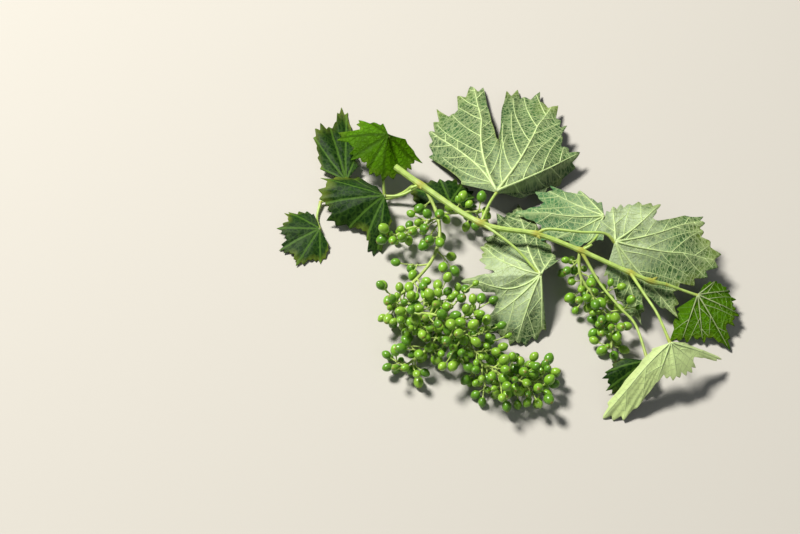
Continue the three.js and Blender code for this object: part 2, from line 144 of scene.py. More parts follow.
# Each leaf is a fan of ribs from the point where its stalk meets the blade. A rib is its heading, its reach
# in plan, the height of its tip, how far out the edge stays on the way to the next rib, and its bow upwards.
# veins are the main veins, each as its heading at the joint and at its end. up is the side that faces up.
# lobes gives the finer outline on the same surface: headings and reaches in plan.
LEAVES = {
    "leaf_north": {
        "joint": (84, 71, 26.6), "up": "under", "finish": "felted", "carrier": "shoot",
        "ribs": [(8, 22, 15, 0.95, 0), (21, 74, 3, 0.9, -6), (33, 91, 20, 0.9, 3), (50, 106, 14, 0.93, 4),
                 (69, 132, 6, 0.92, 4), (83.5, 126, 6, 0.46, 2), (92.5, 131, 1.4, 0.98, 3),
                 (103, 127, 0.8, 0.84, 4), (115, 119, 0.8, 0.8, 4), (139, 78, 1, 0.8, 2),
                 (150, 36, 14, 1, 0)],
        "stalk": [(72.5, 45, 34.5), (77, 56, 32.2), (84, 71, 26.6)],
        "veins": [(28, 32), (54, 62), (112, 97), (114, 125), (152, 143)],
        "lobes": [(8, 22), (15, 46), (21, 62), (27, 81), (33, 91), (38, 84), (45, 87), (49, 101), (54, 105),
                  (60, 121), (66, 117), (70, 132), (75, 120), (79, 130), (83.5, 125), (85, 102), (86.2, 58),
                  (89.5, 74), (91.8, 98), (93, 130), (98, 134), (104.5, 124), (109, 104), (115, 119),
                  (120, 107), (126, 98), (132, 86), (138, 78), (143, 42), (150, 34)],
    },
    "leaf_middle": {
        # Its finish lays a painted highlight on the west lobe, as a pale downy patch.
        "joint": (118, -14, 30), "up": "under", "finish": "painted_highlight_west", "carrier": "shoot",
        "ribs": [(40, 22, 33, 0.9, 0), (72, 42, 16, 0.9, 0), (99, 90, 5, 0.9, 0), (120, 75, 8, 0.85, 0),
                 (142, 60, 12, 0.54, 2), (177, 66, 15, 0.75, 4), (197, 48, 6, 0.85, 0),
                 (212, 55, 3, 0.8, 0), (248, 56, 2, 0.8, 2), (277, 39, 4, 1, 2)],
        "stalk": [(77.2, 27.9, 34.4), (84, 22, 36), (100, 7, 35), (118, -14, 30)],
        "veins": [(58, 66), (112, 101), (166, 142), (214, 178), (226, 212), (244, 248), (275, 270)],
        "lobes": [(40, 22), (56, 26), (72, 38), (90, 62), (99, 88), (107, 80), (114, 82), (122, 68),
                  (131, 66), (143, 61), (156, 55), (164, 48), (170, 38), (173, 52), (177, 66), (182, 60),
                  (189, 48), (197, 38), (206, 41), (212, 54), (221, 60), (232, 54), (243, 57), (256, 53),
                  (266, 47), (277, 39)],
    },
    "leaf_east": {
        # Its finish lays a painted highlight near the joint, as a pale downy patch.
        "joint": (181, 11, 42), "up": "under", "finish": "painted_highlight_centre", "carrier": "shoot",
        "ribs": [(-112, 24, 24, 0.95, -1), (-70, 65, 10, 0.78, -4), (-47, 77, 10, 0.8, 0),
                 (-29, 73, 20, 0.9, 1), (-7, 92, 30, 0.88, 2), (22, 82, 36, 0.54, 2), (42, 57, 40, 0.88, 2),
                 (78, 40, 42, 0.92, 2), (104, 36, 40, 0.9, 1), (132, 20, 41, 1, 0)],
        "stalk": [(118.7, 26.9, 37.6), (126, 25, 41), (152, 19, 46), (172, 17, 47), (181, 11, 42)],
        "veins": [(-66, -70), (-52, -47), (-16, -7), (8, 17), (34, 43), (88, 92)],
        "lobes": [(-112, 24), (-100, 28), (-88, 40), (-78, 58), (-70, 65), (-64, 56), (-58, 46), (-52, 62),
                  (-47, 77), (-40, 70), (-33, 63), (-25, 74), (-17, 82), (-10, 89), (-3, 91), (4, 82),
                  (10, 78), (16, 82), (21, 84), (25, 68), (28, 50), (32, 41), (38, 47), (42, 56), (50, 52),
                  (61, 48), (70, 42), (79, 39), (90, 34), (100, 31), (118, 24), (132, 20)],
    },
    "leaf_folded": {
        "joint": (176, 47, 25), "up": "under", "finish": "bluish", "carrier": "shoot",
        "ribs": [(90, 18, 22, 0.9, 0), (120, 36, 18, 0.85, 0), (139, 58, 15, 0.88, 0),
                 (150, 66, 14, 0.8, 0), (173, 76, 15, 0.85, 3), (200, 58, 19, 0.9, 1),
                 (232, 40, 25, 0.9, 0), (265, 26, 27, 1, 0)],
        "stalk": [(156.3, 8.5, 33.3), (168, 26, 27), (176, 47, 25)],
        "veins": [(118, 121), (152, 146), (186, 174), (212, 206), (242, 240)],
    },
    "leaf_south": {
        "joint": (219, -84, 42), "up": "under", "finish": "pale", "carrier": "shoot",
        "ribs": [(-170, 14, 38, 0.95, 0), (-154, 34, 26, 0.9, 1), (-138, 71, 1, 0.75, 5),
                 (-112, 34, 16, 0.9, 2), (-84, 25, 24, 0.92, 1), (-32, 26, 26, 0.8, 1),
                 (-2, 46, 14, 0.85, 3), (18, 14, 36, 1, 0)],
        "stalk": [(196.3, -19.5, 37.6), (201, -40, 45), (210, -60, 47), (219, -84, 42)],
        "veins": [(-142, -138), (-112, -112), (-74, -78), (-30, -32), (-6, -2)],
        "lobes": [(-170, 14), (-158, 22), (-147, 42), (-143, 61), (-138, 71), (-132, 67), (-126, 62),
                  (-121, 50), (-116, 36), (-110, 27), (-96, 24), (-84, 25), (-70, 24), (-57, 25), (-45, 26),
                  (-34, 26), (-25, 21), (-14, 27), (-6, 41), (0, 47), (7, 24), (18, 14)],
    },
    "leaf_south_low": {
        "joint": (204, -89, 21), "up": "upper", "finish": "deep", "carrier": "shoot",
        "ribs": [(-188, 22, 20, 0.9, 0), (-170, 36, 14, 0.88, 2), (-150, 40, 3, 0.85, 3),
                 (-125, 32, 2, 0.85, 2), (-100, 24, 4, 0.9, 1), (-70, 12, 14, 1, 0)],
        "stalk": [(159.7, 0.4, 32.5), (168, -20, 27), (184, -42, 24), (196, -57, 24), (204, -89, 21)],
        "veins": [(-172, -170), (-148, -150), (-122, -122), (-98, -97)],
        "lobes": [(-188, 22), (-180, 29), (-170, 36), (-164, 39), (-157, 36), (-150, 40), (-143, 37),
                  (-136, 33), (-130, 34), (-125, 32), (-116, 29), (-108, 27), (-100, 24), (-86, 19),
                  (-70, 12)],
    },
    "leaf_far_east": {
        "joint": (249, -31, 26), "up": "under", "finish": "backlit", "carrier": "shoot",
        "ribs": [(-160, 18, 12, 0.9, 0), (-115, 34, 2, 0.85, 0), (-80, 34, 2, 0.72, 0),
                 (-56, 49, 0.8, 0.8, 2), (-17, 37, 12, 0.85, 2), (17, 31, 18, 0.9, 1),
                 (42, 22, 22, 0.95, 0), (60, 12, 24, 1, 0)],
        "stalk": [(222.9, -23.1, 30.7), (235, -27, 29), (249, -31, 26)],
        "veins": [(-112, -112), (-80, -82), (-55, -56), (-20, -17), (15, 18), (42, 43)],
        "lobes": [(-160, 17), (-141, 24), (-126, 38), (-115, 33), (-104, 34), (-90, 31), (-80, 34),
                  (-70, 32), (-62, 38), (-55, 48), (-48, 41), (-41, 32), (-34, 38), (-26, 35), (-19, 38),
                  (-10, 34), (-3, 32), (5, 35), (12, 30), (18, 31), (25, 30), (34, 27), (42, 24), (51, 19),
                  (60, 12)],
    },
    "leaf_west_high": {
        "joint": (-10, 122, 42), "up": "upper", "finish": "backlit", "carrier": "side_shoot",
        "ribs": [(110, 14, 40, 0.95, 0), (136, 24, 38, 0.88, 1), (173, 46, 30, 0.75, 2),
                 (205, 42, 24, 0.85, 1), (236, 42, 20, 0.85, 1), (262, 42, 21, 0.8, 2),
                 (292, 40, 15, 0.8, -4), (322, 40, 20, 0.8, -1), (350, 18, 36, 1, 0)],
        "stalk": [(-13.9, 79.9, 7.3), (-15, 96, 22), (-12, 112, 34), (-10, 122, 42)],
        "veins": [(138, 137), (174, 174), (205, 206), (234, 236), (256, 261), (290, 293), (322, 323)],
        "lobes": [(110, 14), (130, 20), (144, 33), (153, 32), (161, 27), (167, 46), (177, 46), (190, 33),
                  (200, 37), (208, 38), (222, 31), (241, 35), (262, 37), (277, 34), (292, 30), (311, 31),
                  (320, 29), (329, 35), (336, 24), (350, 15)],
    },
    "leaf_west": {
        "joint": (-13, 71, 23), "up": "upper", "finish": "deep", "carrier": "shoot",
        "ribs": [(112, 14, 11, 0.95, -1), (135, 30, 11, 0.9, 0), (158, 64, 14, 0.8, 3),
                 (180, 52, 14, 0.85, 2), (216, 44, 3, 0.75, 3), (244, 40, 2, 0.85, 2), (262, 48, 1, 0.8, 3),
                 (286, 24, 12, 1, 0)],
        "stalk": [(11.4, 72.2, 26.6), (2, 70, 27), (-13, 71, 23)],
        "veins": [(135, 135), (160, 158), (184, 182), (214, 216), (240, 244), (262, 262)],
        "lobes": [(112, 20), (127, 40), (140, 46), (150, 50), (158, 62), (164, 54), (170, 60), (178, 58),
                  (189, 51), (198, 54), (206, 48), (218, 39), (234, 33), (244, 38), (251, 47), (258, 50),
                  (266, 46), (274, 33), (286, 22)],
    },
    "leaf_northwest": {
        "joint": (-48, 95, 10), "up": "upper", "finish": "deep", "carrier": "side_shoot",
        "ribs": [(52, 16, 12, 0.95, 0), (72, 40, 8, 0.88, 1), (90, 85, 0.8, 0.8, 2),
                 (104, 85, 0.8, 0.82, 2), (122, 56, 6, 0.85, 1), (150, 26, 9, 1, 0)],
        "stalk": [(-43.8, 81.7, 4.9), (-48, 95, 10)],
        "veins": [(72, 72), (93, 91), (104, 104), (124, 122), (146, 147)],
        "lobes": [(52, 19), (62, 22), (72, 30), (82, 44), (87, 62), (90, 80), (94, 86), (97, 80), (100, 67),
                  (105, 63), (111, 68), (117, 64), (123, 57), (128, 44), (136, 36), (150, 27)],
    },
    "leaf_southwest": {
        "joint": (-70, 46, 8), "up": "upper", "finish": "deep", "carrier": "side_shoot",
        "ribs": [(110, 16, 8, 0.95, 0), (146, 34, 6, 0.85, 1), (178, 38, 4, 0.8, 1), (208, 40, 2, 0.8, 1),
                 (240, 40, 1, 0.8, 1), (272, 32, 1, 0.88, 1), (300, 16, 5, 1, 0)],
        "stalk": [(-71.4, 74.6, 4), (-73, 60, 5), (-70, 46, 8)],
        "veins": [(146, 146), (178, 178), (208, 208), (240, 240), (272, 272)],
        "lobes": [(110, 16), (122, 22), (134, 27), (146, 34), (152, 36), (160, 30), (170, 33), (178, 38),
                  (186, 34), (194, 31), (202, 36), (208, 40), (215, 38), (222, 34), (232, 36), (240, 40),
                  (248, 36), (256, 30), (264, 30), (272, 32), (282, 27), (292, 21), (300, 16)],
    },
    "leaf_tucked": {
        "joint": (44, 72, 11), "up": "upper", "finish": "deep", "carrier": "shoot",
        "ribs": [(-16, 22, 5, 0.9, 0), (20, 24, 5, 0.85, 0), (62, 25, 5, 0.85, 0), (108, 28, 5, 0.85, 0),
                 (150, 42, 3, 0.8, 1), (182, 34, 3, 1, 0)],
        "stalk": [(29.1, 70.1, 27.4), (36, 70, 16), (44, 72, 11)],
        "veins": [(20, 20), (62, 62), (108, 108), (150, 150)],
        "lobes": [(-16, 22), (-2, 24), (8, 22), (20, 24), (34, 26), (48, 24), (62, 25), (78, 28), (92, 25),
                  (108, 28), (122, 31), (134, 36), (150, 42), (160, 37), (170, 33), (182, 34)],
    },
}

# Each arm of a bunch is a length of stalk that carries side stems, and each side stem carries its crowd of
# berries. reach is the length of the side stems at the arm's start, middle and end, top the height that all
# stay below, and fuller the number of side stems that are added with smaller berries.
ARM_KEYS = ("line", "radius", "stems", "reach", "crowd", "top", "seed", "carrier", "fuller")
ARM_ROWS = {
    "bunch_stalk": ([(24.6, 68.6, 26.6), (32, 51, 23), (34, 29, 20), (26, 5, 19), (7, -20, 20),
                     (-7, -34, 21)],
                    (1.5, 1.3), 9, (5, 22, 12), 3, 34, 11, "shoot", 2),
    "bunch_left_arm": ([(30.3, 47.2, 22.1), (18, 41, 20), (6, 39, 18), (-9, 31, 13)],
                       (1.1, 0.8), 4, (6, 12, 9), 3, 30, 22, "bunch_stalk", 3),
    "bunch_right_arm": ([(33.5, 51.6, 22.5), (47, 54, 20), (60, 56, 19), (71, 56, 19)],
                        (1.1, 0.8), 4, (4, 8, 9), 3, 32, 33, "bunch_stalk", 3),
    "bunch_shoulder": ([(-6, -35.9, 21.4), (11, -47, 25), (38, -53, 28), (54, -72, 26)],
                       (1.4, 1.1), 13, (12, 34, 26), 5, 50, 44, "bunch_stalk", 36),
    "bunch_tail": ([(54.3, -72.5, 25.9), (69, -93, 20), (95, -104, 15), (119, -103, 11)],
                   (1.2, 0.8), 10, (24, 23, 12), 5, 38, 55, "bunch_shoulder", 28),
    "bunch_low_wing": ([(30.7, -52.7, 26.1), (30, -65, 16), (22, -76, 15), (12, -84, 13), (0, -92, 10)],
                       (1.0, 0.8), 6, (12, 15, 9), 3, 28, 66, "bunch_shoulder", 12),
    "shaded_bunch": ([(151.3, 5, 32.8), (153, -12, 23), (165, -28, 17), (178, -46, 13), (176, -72, 9)],
                     (1.2, 0.8), 8, (8, 20, 12), 4, 30, 77, "shoot", 14),
}
BUNCHES = {name: dict(zip(ARM_KEYS, row)) for name, row in ARM_ROWS.items()}
CARRIERS = {"shoot": SHOOT_LINE, "side_shoot": SIDE_SHOOT_LINE,
            **{name: arm["line"] for name, arm in BUNCHES.items()}}

# Sizes of berries and of the stems of a bunch
BERRY_RADIUS = (3.7, 4.7)
SMALL_BERRY_RADIUS = (2.7, 4.2)
BERRY_STALK = (4.5, 7.5)
BERRY_STALK_SPACE = 0.75
BERRY_STALK_MARKS = (0.25, 0.5)
SIDE_STEM_SPACE = 1.1
SIDE_STEM_END = 0.9
CLEARANCE = 0.45
BERRY_OUTER = 1.07
TRIES = 9
FULLER_SEED = 300
BUNCH_SEED = 500

# How side stems leave an arm, and berries a side stem
TURN = 137.5
TURN_SPREAD = 40
FORWARDS = 0.45
SHORTEST_REACH = 0.55
END_MARGIN = 6
BERRY_FEET = (0.4, 0.95)
FOOT_SPREAD = 0.6
SPIN_SPREAD = 120
SPIN_STEP = 50
TIP_LEAN = (0, 0.3)
LEAN = (0.7, 1.3)
STEM_MARKS = 4
TANGENT = 0.01

# The camera looks down at the plant from where the photograph was taken
CAMERA_AIM = (0, 0, 20)
CAMERA_ELEVATION = 60
CAMERA_DISTANCE = 1300
CAMERA_LENS = 68.8

# The floor's half width in metres
FLOOR_SIZE = 3

# Each lamp's place and size in metres and its colour, and the spot that both look at
KEY_LAMP = ((-1.65, 1.25, 3.1), 0.72, (1.0, 0.97, 0.92))
FILL_LAMP = ((0.9, -1.3, 1.4), 1.6, (0.9, 0.95, 1.0))
LAMP_AIM = (0, 0, 0.02)
WORLD_COLOUR = (0.92, 0.95, 1.0, 1)

# Teeth, waves and rows of a blade
FINE_EDGE = 0.97
TOOTH_VARIES = (0.5, 1.15)
TOOTH_ROUNDING = 1.35
TOOTH_ROOT = 7
SMALLEST_TOOTH = 0.62
LOBE_ROUNDNESS = 1.5
COLUMNS_PER_TOOTH = 8
ROW_SPACING = 1.4
BLADE_HEART = 0.5
FOLD_ROUNDING = 30
LARGEST_REACH = 120
WAVE_LENGTHS = (88, 41)
SWELL_LENGTHS = (31, 47)
ABOVE_ALL = 200
CHUNK = 2000
LEAF_SEED = 1000
LEAF_SEED_STEP = 17

# Veins: leans and curls are in degrees and degrees per millimetre, and shares are of the main vein's radius
VEIN_STEP = 1.0
VEIN_MEETS = 0.9
VEIN_STANDS = 0.3
LOWEST_VEIN = 0.1
MAIN_SHARE = (1, 0.24)
MAIN_TURNS = 1.6
MAIN_PULL = 4.5
MAIN_HALO = 1.8
SMALLEST_PULL = 0.3
SIDE_FIRST = 9
SIDE_LAST = 6
SIDE_SPACING = (7.5, 11.5)
SIDE_LEAN = (40, 50)
SIDE_CURL = 0.45
SIDE_LONGEST = 60
SIDE_SHORTEST = 5
SIDE_FREE = 4
SIDE_PULL = 2.4
SIDE_PULL_SHARE = 0.6
SIDE_HALO = 1.0
SIDE_HALO_SHARE = 0.4
SIDE_SHARE = (0.44, 0.17)
NET_SPACING = (3.4, 5.2)
NET_LEAN = (76, 100)
NET_CURL = 1.2
NET_LONGEST = 17
NET_SHORTEST = 3
NET_FREE = 1.6
NET_SHARE = (0.19, 0.13)
SMALLEST_VEINS = 0.55
UPPER_VEINS = 0.6

# Finishes of the veins and of their net by the side that faces up, and of a blade's lower side
VEIN_KINDS = {"under": ("raised", "fine"), "upper": ("flush", "flush_fine")}
# Where a thin blade shows its upper side, its main veins are drawn darker than the blade: painted shade where
# the veins stand against the light that comes through.
YOUNG_VEIN_KINDS = {"under": ("young_raised", "young_fine"), "upper": ("young", "young_fine")}
LOWER_SIDES = {"deep": "felted", "backlit": "backlit"}

# Stems of a bunch, with a knot where each side stem leaves, and shapes of a berry
ARM_RINGS = 40
ARM_KNOT = 0.35
ARM_KNOT_LENGTH = 2.2
SAG = (-0.05, 0.12)
SIDE_STEM_RADII = (0.95, 0.6)
BERRY_STALK_PROFILE = (0.75, 0.52, 0.46, 0.5, 0.72, 1.15)
BERRY_SEAT = 0.93
BERRY_GRID = (10, 6)
BERRY_DRAWN = 0.55
BERRY_POINT = 0.1
BERRY_WIDTH = (0.96, 1.03)
BERRY_LENGTH = 1.05
BERRY_LOWEST = 0.1
BERRY_SWELL = 1.1
BERRY_KINDS = 3
DRY_DOTS = 0.5


def place(points):
    """Points in millimetres of the layout as points in the frame's metres."""
    return (np.asarray(points, float) - (*PLAN_CENTRE, 0)) * MM


def linear(code):
    """The linear colour of an sRGB hex value."""
    parts = [int(code[i:i + 2], 16) / 255 for i in (1, 3, 5)]
    return tuple(c / 12.92 if c <= 0.04045 else ((c + 0.055) / 1.055) ** 2.4 for c in parts)


def seeded(seed):
    """Numbers in a fixed order for each seed, from 0 up to 1."""
    state = seed
    while True:
        state = (state * 1664525 + 1013904223) & 0xFFFFFFFF
        yield state / 4294967296


def between(pair, share):
    """A value part of the way from the first of a pair to the second."""
    return pair[0] + (pair[1] - pair[0]) * share


def unit(vector):
    """A vector brought to length one."""
    return vector / np.linalg.norm(vector)


def curve_points(line, shares):
    """Points on the smooth curve through a line's points, at shares of the way from one to the next."""
    line = np.asarray(line, float)
    held = np.vstack([2 * line[0] - line[1], line, 2 * line[-1] - line[-2]])
    spans = len(line) - 1
    places = np.asarray(shares, float) * spans
    span = np.minimum(places.astype(int), spans - 1)
    w = (places - span)[..., None]
    p0, p1, p2, p3 = (held[span + k] for k in range(4))
    t0 = 0.5 * (p2 - p0)
    t1 = 0.5 * (p3 - p1)
    return p1 + t0 * w + (-3 * p1 + 3 * p2 - 2 * t0 - t1) * w ** 2 + (2 * p1 - 2 * p2 + t0 + t1) * w ** 3


def even_points(line, count):
    """Points spaced evenly by length along the curve through a line's points."""
    fine = curve_points(line, np.linspace(0, 1, CURVE_MARKS))
    run = np.concatenate([[0], np.cumsum(np.linalg.norm(np.diff(fine, axis=0), axis=1))])
    goal = np.linspace(0, run[-1], count)
    return np.stack([np.interp(goal, run, fine[:, k]) for k in range(3)], axis=1)


def rooted(line, carrier):
    """A line that starts inside the stem that carries it, at a joint of the shoot if one is near."""
    foot = np.asarray(line[0], float)
    stem = even_points(CARRIERS[carrier], STEM_MARKS_FINE)
    if carrier == "shoot":
        joints = stem[np.round(np.array(SHOOT_NODES) * (STEM_MARKS_FINE - 1)).astype(int)]
        if np.linalg.norm(joints - foot, axis=1).min() < JOINT_NEAR:
            stem = joints
    return [tuple(stem[np.argmin(np.linalg.norm(stem - foot, axis=1))]), *line]


class Spheres:
    """Spheres that stand for stems, blades and berries, which whatever grows later keeps clear of."""

    def __init__(self, room=60000):
        self.centres = np.zeros((room, 3))
        self.radii = np.zeros(room)
        self.owners = np.zeros(room, int)
        self.berries = np.zeros(room, bool)
        self.count = 0
        self.names = {}

    def add(self, centre, radius, owner, is_berry):
        """Puts one sphere in."""
        self.centres[self.count] = centre
        self.radii[self.count] = radius
        self.owners[self.count] = self.names.setdefault(owner, len(self.names))
        self.berries[self.count] = is_berry
        self.count += 1

    def add_along(self, line, radius, owner, samples):
        """Puts spheres in along a curve."""
        for centre in curve_points(line, np.arange(samples + 1) / samples):
            self.add(centre, radius, owner, False)

    def is_clear(self, centre, radius, owner, is_berry):
        """Whether a sphere has room. Stems of one arm may meet each other."""
        n = self.count
        away = np.linalg.norm(self.centres[:n] - centre, axis=1) > radius + self.radii[:n] + CLEARANCE
        if not is_berry:
            away |= (self.owners[:n] == self.names.get(owner, -1)) & ~self.berries[:n]
        return away.all()


def blade_points(leaf, across, out, edge_rule, start=BLADE_START):
    """Points of a blade's middle surface: across from its first rib to its last, out from joint to edge."""
    ribs = np.array(leaf["ribs"], float)
    joint = leaf["joint"]
    panels = len(ribs) - 1
    panel = np.minimum((across * panels).astype(int), panels - 1)
    share = across * panels - panel
    edge = edge_rule(ribs, panel, share, out)
    sides = []
    for side in (0, 1):
        heading, reach, height, _, bow = np.moveaxis(ribs[panel + side], -1, 0)
        distance = start + (reach * edge - start) * out
        along = distance / reach
        x = joint[0] + distance * np.cos(np.radians(heading))
        y = joint[1] + distance * np.sin(np.radians(heading))
        z = joint[2] + (height - joint[2]) * along + bow * 4 * along * (1 - along)
        sides.append(np.stack([x, y, z], axis=-1))
    points = sides[0] + (sides[1] - sides[0]) * share[..., None]
    points[..., 2] = np.maximum(points[..., 2], LOWEST_BLADE)
    return points


def plain_edge(ribs, panel, share, _, sharpness=LOBE_SHARPNESS):
    """How far out a blade's edge lies between two ribs, with no teeth."""
    return 1 - (1 - ribs[panel, 3]) * np.sin(np.pi * share) ** sharpness


def block_shoot_and_leaves(spheres):
    """Puts in what berries keep clear of, in the same order as the solids were grown."""
    spheres.add_along(SHOOT_LINE, SHOOT_RADII[0] + SHOOT_MARGIN, "shoot", SHOOT_SAMPLES)
    spheres.add_along(SIDE_SHOOT_LINE, SIDE_SHOOT_RADII[0], "side_shoot", STEM_SAMPLES)
    for name, leaf in LEAVES.items():
        spheres.add_along(leaf["stalk"], STALK_RADIUS, name, STALK_SAMPLES)
        panels = len(leaf["ribs"]) - 1
        across = (np.arange(panels)[:, None] + np.arange(MARGIN_ACROSS) / MARGIN_ACROSS).ravel() / panels
        grid = np.meshgrid(across, MARGIN_START + MARGIN_OUT * np.arange(MARGIN_ROWS), indexing="ij")
        for centre in blade_points(leaf, grid[0].ravel(), grid[1].ravel(), plain_edge):
            spheres.add(centre, BLADE_MARGIN, name, False)
    for name, arm in BUNCHES.items():
        spheres.add_along(arm["line"], arm["radius"][0], name, STEM_SAMPLES)


def grow_arm(name, arm, spheres, berry_radius=BERRY_RADIUS):
    """Side stems leave the arm round it by a fixed turn, and berries leave each side stem in the same way."""
    random = seeded(arm["seed"])
    up = np.array([0.0, 0.0, 1.0])
    stems = []
    for i in range(arm["stems"]):
        t = (i + 0.5) / arm["stems"]
        foot, ahead, behind = curve_points(arm["line"], [t, min(t + TANGENT, 1), t - TANGENT])
        forwards = unit(ahead - behind)
        sideways = unit(np.cross(forwards, up))
        upwards = np.cross(sideways, forwards)
        turn = math.radians(i * TURN + TURN_SPREAD * next(random))
        heading = unit(forwards * FORWARDS + sideways * math.cos(turn) + upwards * math.sin(turn))
        reach = np.interp(t, (0, 0.5, 1), arm["reach"])
        end = foot + heading * reach * between((SHORTEST_REACH, 1), next(random))
        end[2] = min(max(end[2], END_MARGIN), arm["top"] - END_MARGIN)
        heading = unit(end - foot)
        across = unit(np.cross(heading, up))
        over = np.cross(across, heading)
        berries = []
        for j in range(arm["crowd"]):
            placed = False
            for attempt in range(TRIES):
                share = (j - 1 + FOOT_SPREAD * next(random)) / max(arm["crowd"] - 1, 1)
                spin = math.radians(j * TURN + SPIN_SPREAD * next(random) + SPIN_STEP * attempt)
                lean = between(LEAN if j else TIP_LEAN, next(random))
                radius = between(berry_radius, next(random))
                away = between(BERRY_STALK, next(random)) + radius
                if placed:
                    continue
                start = foot + (end - foot) * (between(BERRY_FEET, share) if j else 1)
                centre = (start + heading * math.cos(lean) * away
                          + across * math.sin(lean) * math.cos(spin) * away
                          + over * math.sin(lean) * math.sin(spin) * away)
                outer = radius * BERRY_OUTER
                centre[2] = max(centre[2], outer)
                stalk = [start + (centre - start) * k for k in BERRY_STALK_MARKS]
                placed = (centre[2] < arm["top"] and spheres.is_clear(centre, outer, name, True)
                          and all(spheres.is_clear(p, BERRY_STALK_SPACE, name, False) for p in stalk)
                          and spheres.is_clear(start, SIDE_STEM_SPACE, name, False))
                if placed:
                    spheres.add(centre, outer, name, True)
                    for p in stalk:
                        spheres.add(p, BERRY_STALK_SPACE, name, False)
                    berries.append((start, centre, radius))
        if berries:
            last = max(np.linalg.norm(start - foot) for start, _, _ in berries)
            tip = foot + heading * (last + SIDE_STEM_END)
            stems.append({"foot": foot, "tip": tip, "berries": berries})
            for k in range(1, STEM_MARKS + 1):
                spheres.add(foot + (tip - foot) * k / STEM_MARKS, SIDE_STEM_SPACE, name, False)
    return stems


def leaf_scale(leaf, smallest):
    """A leaf's size beside the largest, but no less than a share."""
    return max(min(max(rib[1] for rib in leaf["ribs"]) / LARGEST_REACH, 1), smallest)


def finer_ribs(leaf):
    """The ribs of a leaf's finer outline, on the surface that its own ribs give."""
    if "lobes" not in leaf:
        return leaf["ribs"]
    ribs = np.array(leaf["ribs"], float)
    level = leaf["joint"][2]
    finer = []
    for heading, reach in leaf["lobes"]:
        full, height, bow = (np.interp(heading, ribs[:, 0], ribs[:, column]) for column in (1, 2, 4))
        part = reach / full
        tip = level + (height - level) * part + 4 * bow * part * (1 - part)
        finer.append((heading, reach, tip, FINE_EDGE, bow * part * part))
    return finer


def toothed_edge(teeth, depths, seed):
    """A rule for an edge of convex teeth that vary in depth, with their tips at the ribs."""
    random = seeded(seed)
    vary = [[between(TOOTH_VARIES, next(random)) for _ in range(count)] for count in teeth]

    def edge(ribs, panel, share, out):
        lobe = plain_edge(ribs, panel, share, out, LOBE_ROUNDNESS)
        place_in = share * teeth[panel]
        tooth = np.minimum(place_in.astype(int), teeth[panel] - 1)
        tip = np.abs(2 * (place_in - tooth) - 1)
        height = np.array([vary[p][k] for p, k in zip(panel.ravel(), tooth.ravel())]).reshape(panel.shape)
        notch = height * depths[panel] / ribs[panel, 1] * (1 - tip) ** TOOTH_ROUNDING
        return lobe - notch * out ** TOOTH_ROOT
    return edge


def drop_on(surface, x, y):
    """The point of a blade below a place in plan, with its normal, or None beside the blade."""
    point, normal, _, _ = surface.ray_cast(Vector((x, y, ABOVE_ALL)), Vector((0, 0, -1)))
    if point is None:
        return None
    return np.array(point), np.array(normal) * (1 if normal.z > 0 else -1)


def towards(heading):
    """A direction in plan, by its heading in radians."""
    return np.array([math.cos(heading), math.sin(heading)])


def main_veins(leaf, surface):
    """The veins that fan out from the joint, each turning from its first heading to its last."""
    joint = np.array(leaf["joint"][:2], float)
    reach = max(rib[1] for rib in leaf["ribs"])
    ways = []
    for headings in leaf["veins"]:
        way = [joint]
        for distance in np.arange(VEIN_STEP, reach, VEIN_STEP):
            turned = math.radians(between(headings, min(distance / reach * MAIN_TURNS, 1)))
            ahead = joint + distance * towards(turned)
            if drop_on(surface, *ahead) is None:
                break
            way.append(ahead)
        ways.append(np.array(way))
    return ways


def run_vein(surface, vein, at, lean, curl, length, others, free):
    """A vein's way in plan from another, until it meets the margin or, past its free start, one more."""
    index = int(at / VEIN_STEP)
    along = vein[min(index + lean[1], len(vein) - 1)] - vein[max(index - 1, 0)]
    turned = math.radians(math.degrees(math.atan2(along[1], along[0])) + lean[0])
    way = [vein[index]]
    while (len(way) - 1) * VEIN_STEP < length:
        turned += math.radians(curl) * VEIN_STEP
        ahead = way[-1] + VEIN_STEP * towards(turned)
        if drop_on(surface, *ahead) is None:
            break
        way.append(ahead)
        if (len(way) - 1) * VEIN_STEP > free and len(others):
            if np.min(np.sum((others - ahead) ** 2, axis=1)) < VEIN_MEETS ** 2:
                break
    return np.array(way)


def side_veins(mains, surface, random):
    """Veins that leave each main vein in turn to the left and the right, and bend towards its tip."""
    ways = []
    for k, main in enumerate(mains):
        others = np.vstack([m for i, m in enumerate(mains) if i != k] + [w[2:] for w in ways])
        at = SIDE_FIRST
        side = 1
        while at < len(main) * VEIN_STEP - SIDE_LAST:
            lean = side * between(SIDE_LEAN, next(random))
            way = run_vein(surface, main, at, (lean, 2), -side * SIDE_CURL, SIDE_LONGEST, others, SIDE_FREE)
            if len(way) > SIDE_SHORTEST:
                ways.append(way)
            at += between(SIDE_SPACING, next(random))
            side = -side
    return ways


def net_veins(veins, surface, random):
    """Fine veins that cross from each vein to the next like rungs."""
    others = np.vstack(veins)
    ways = []
    for vein in veins:
        at = between(NET_SPACING, next(random))
        while at < (len(vein) - 2) * VEIN_STEP:
            for side in (1, -1):
                lean = side * between(NET_LEAN, next(random))
                curl = between((-NET_CURL, NET_CURL), next(random))
                way = run_vein(surface, vein, at, (lean, 1), curl, NET_LONGEST, others, NET_FREE)
                if len(way) > NET_SHORTEST:
                    ways.append(way)
            at += between(NET_SPACING, next(random))
    return ways


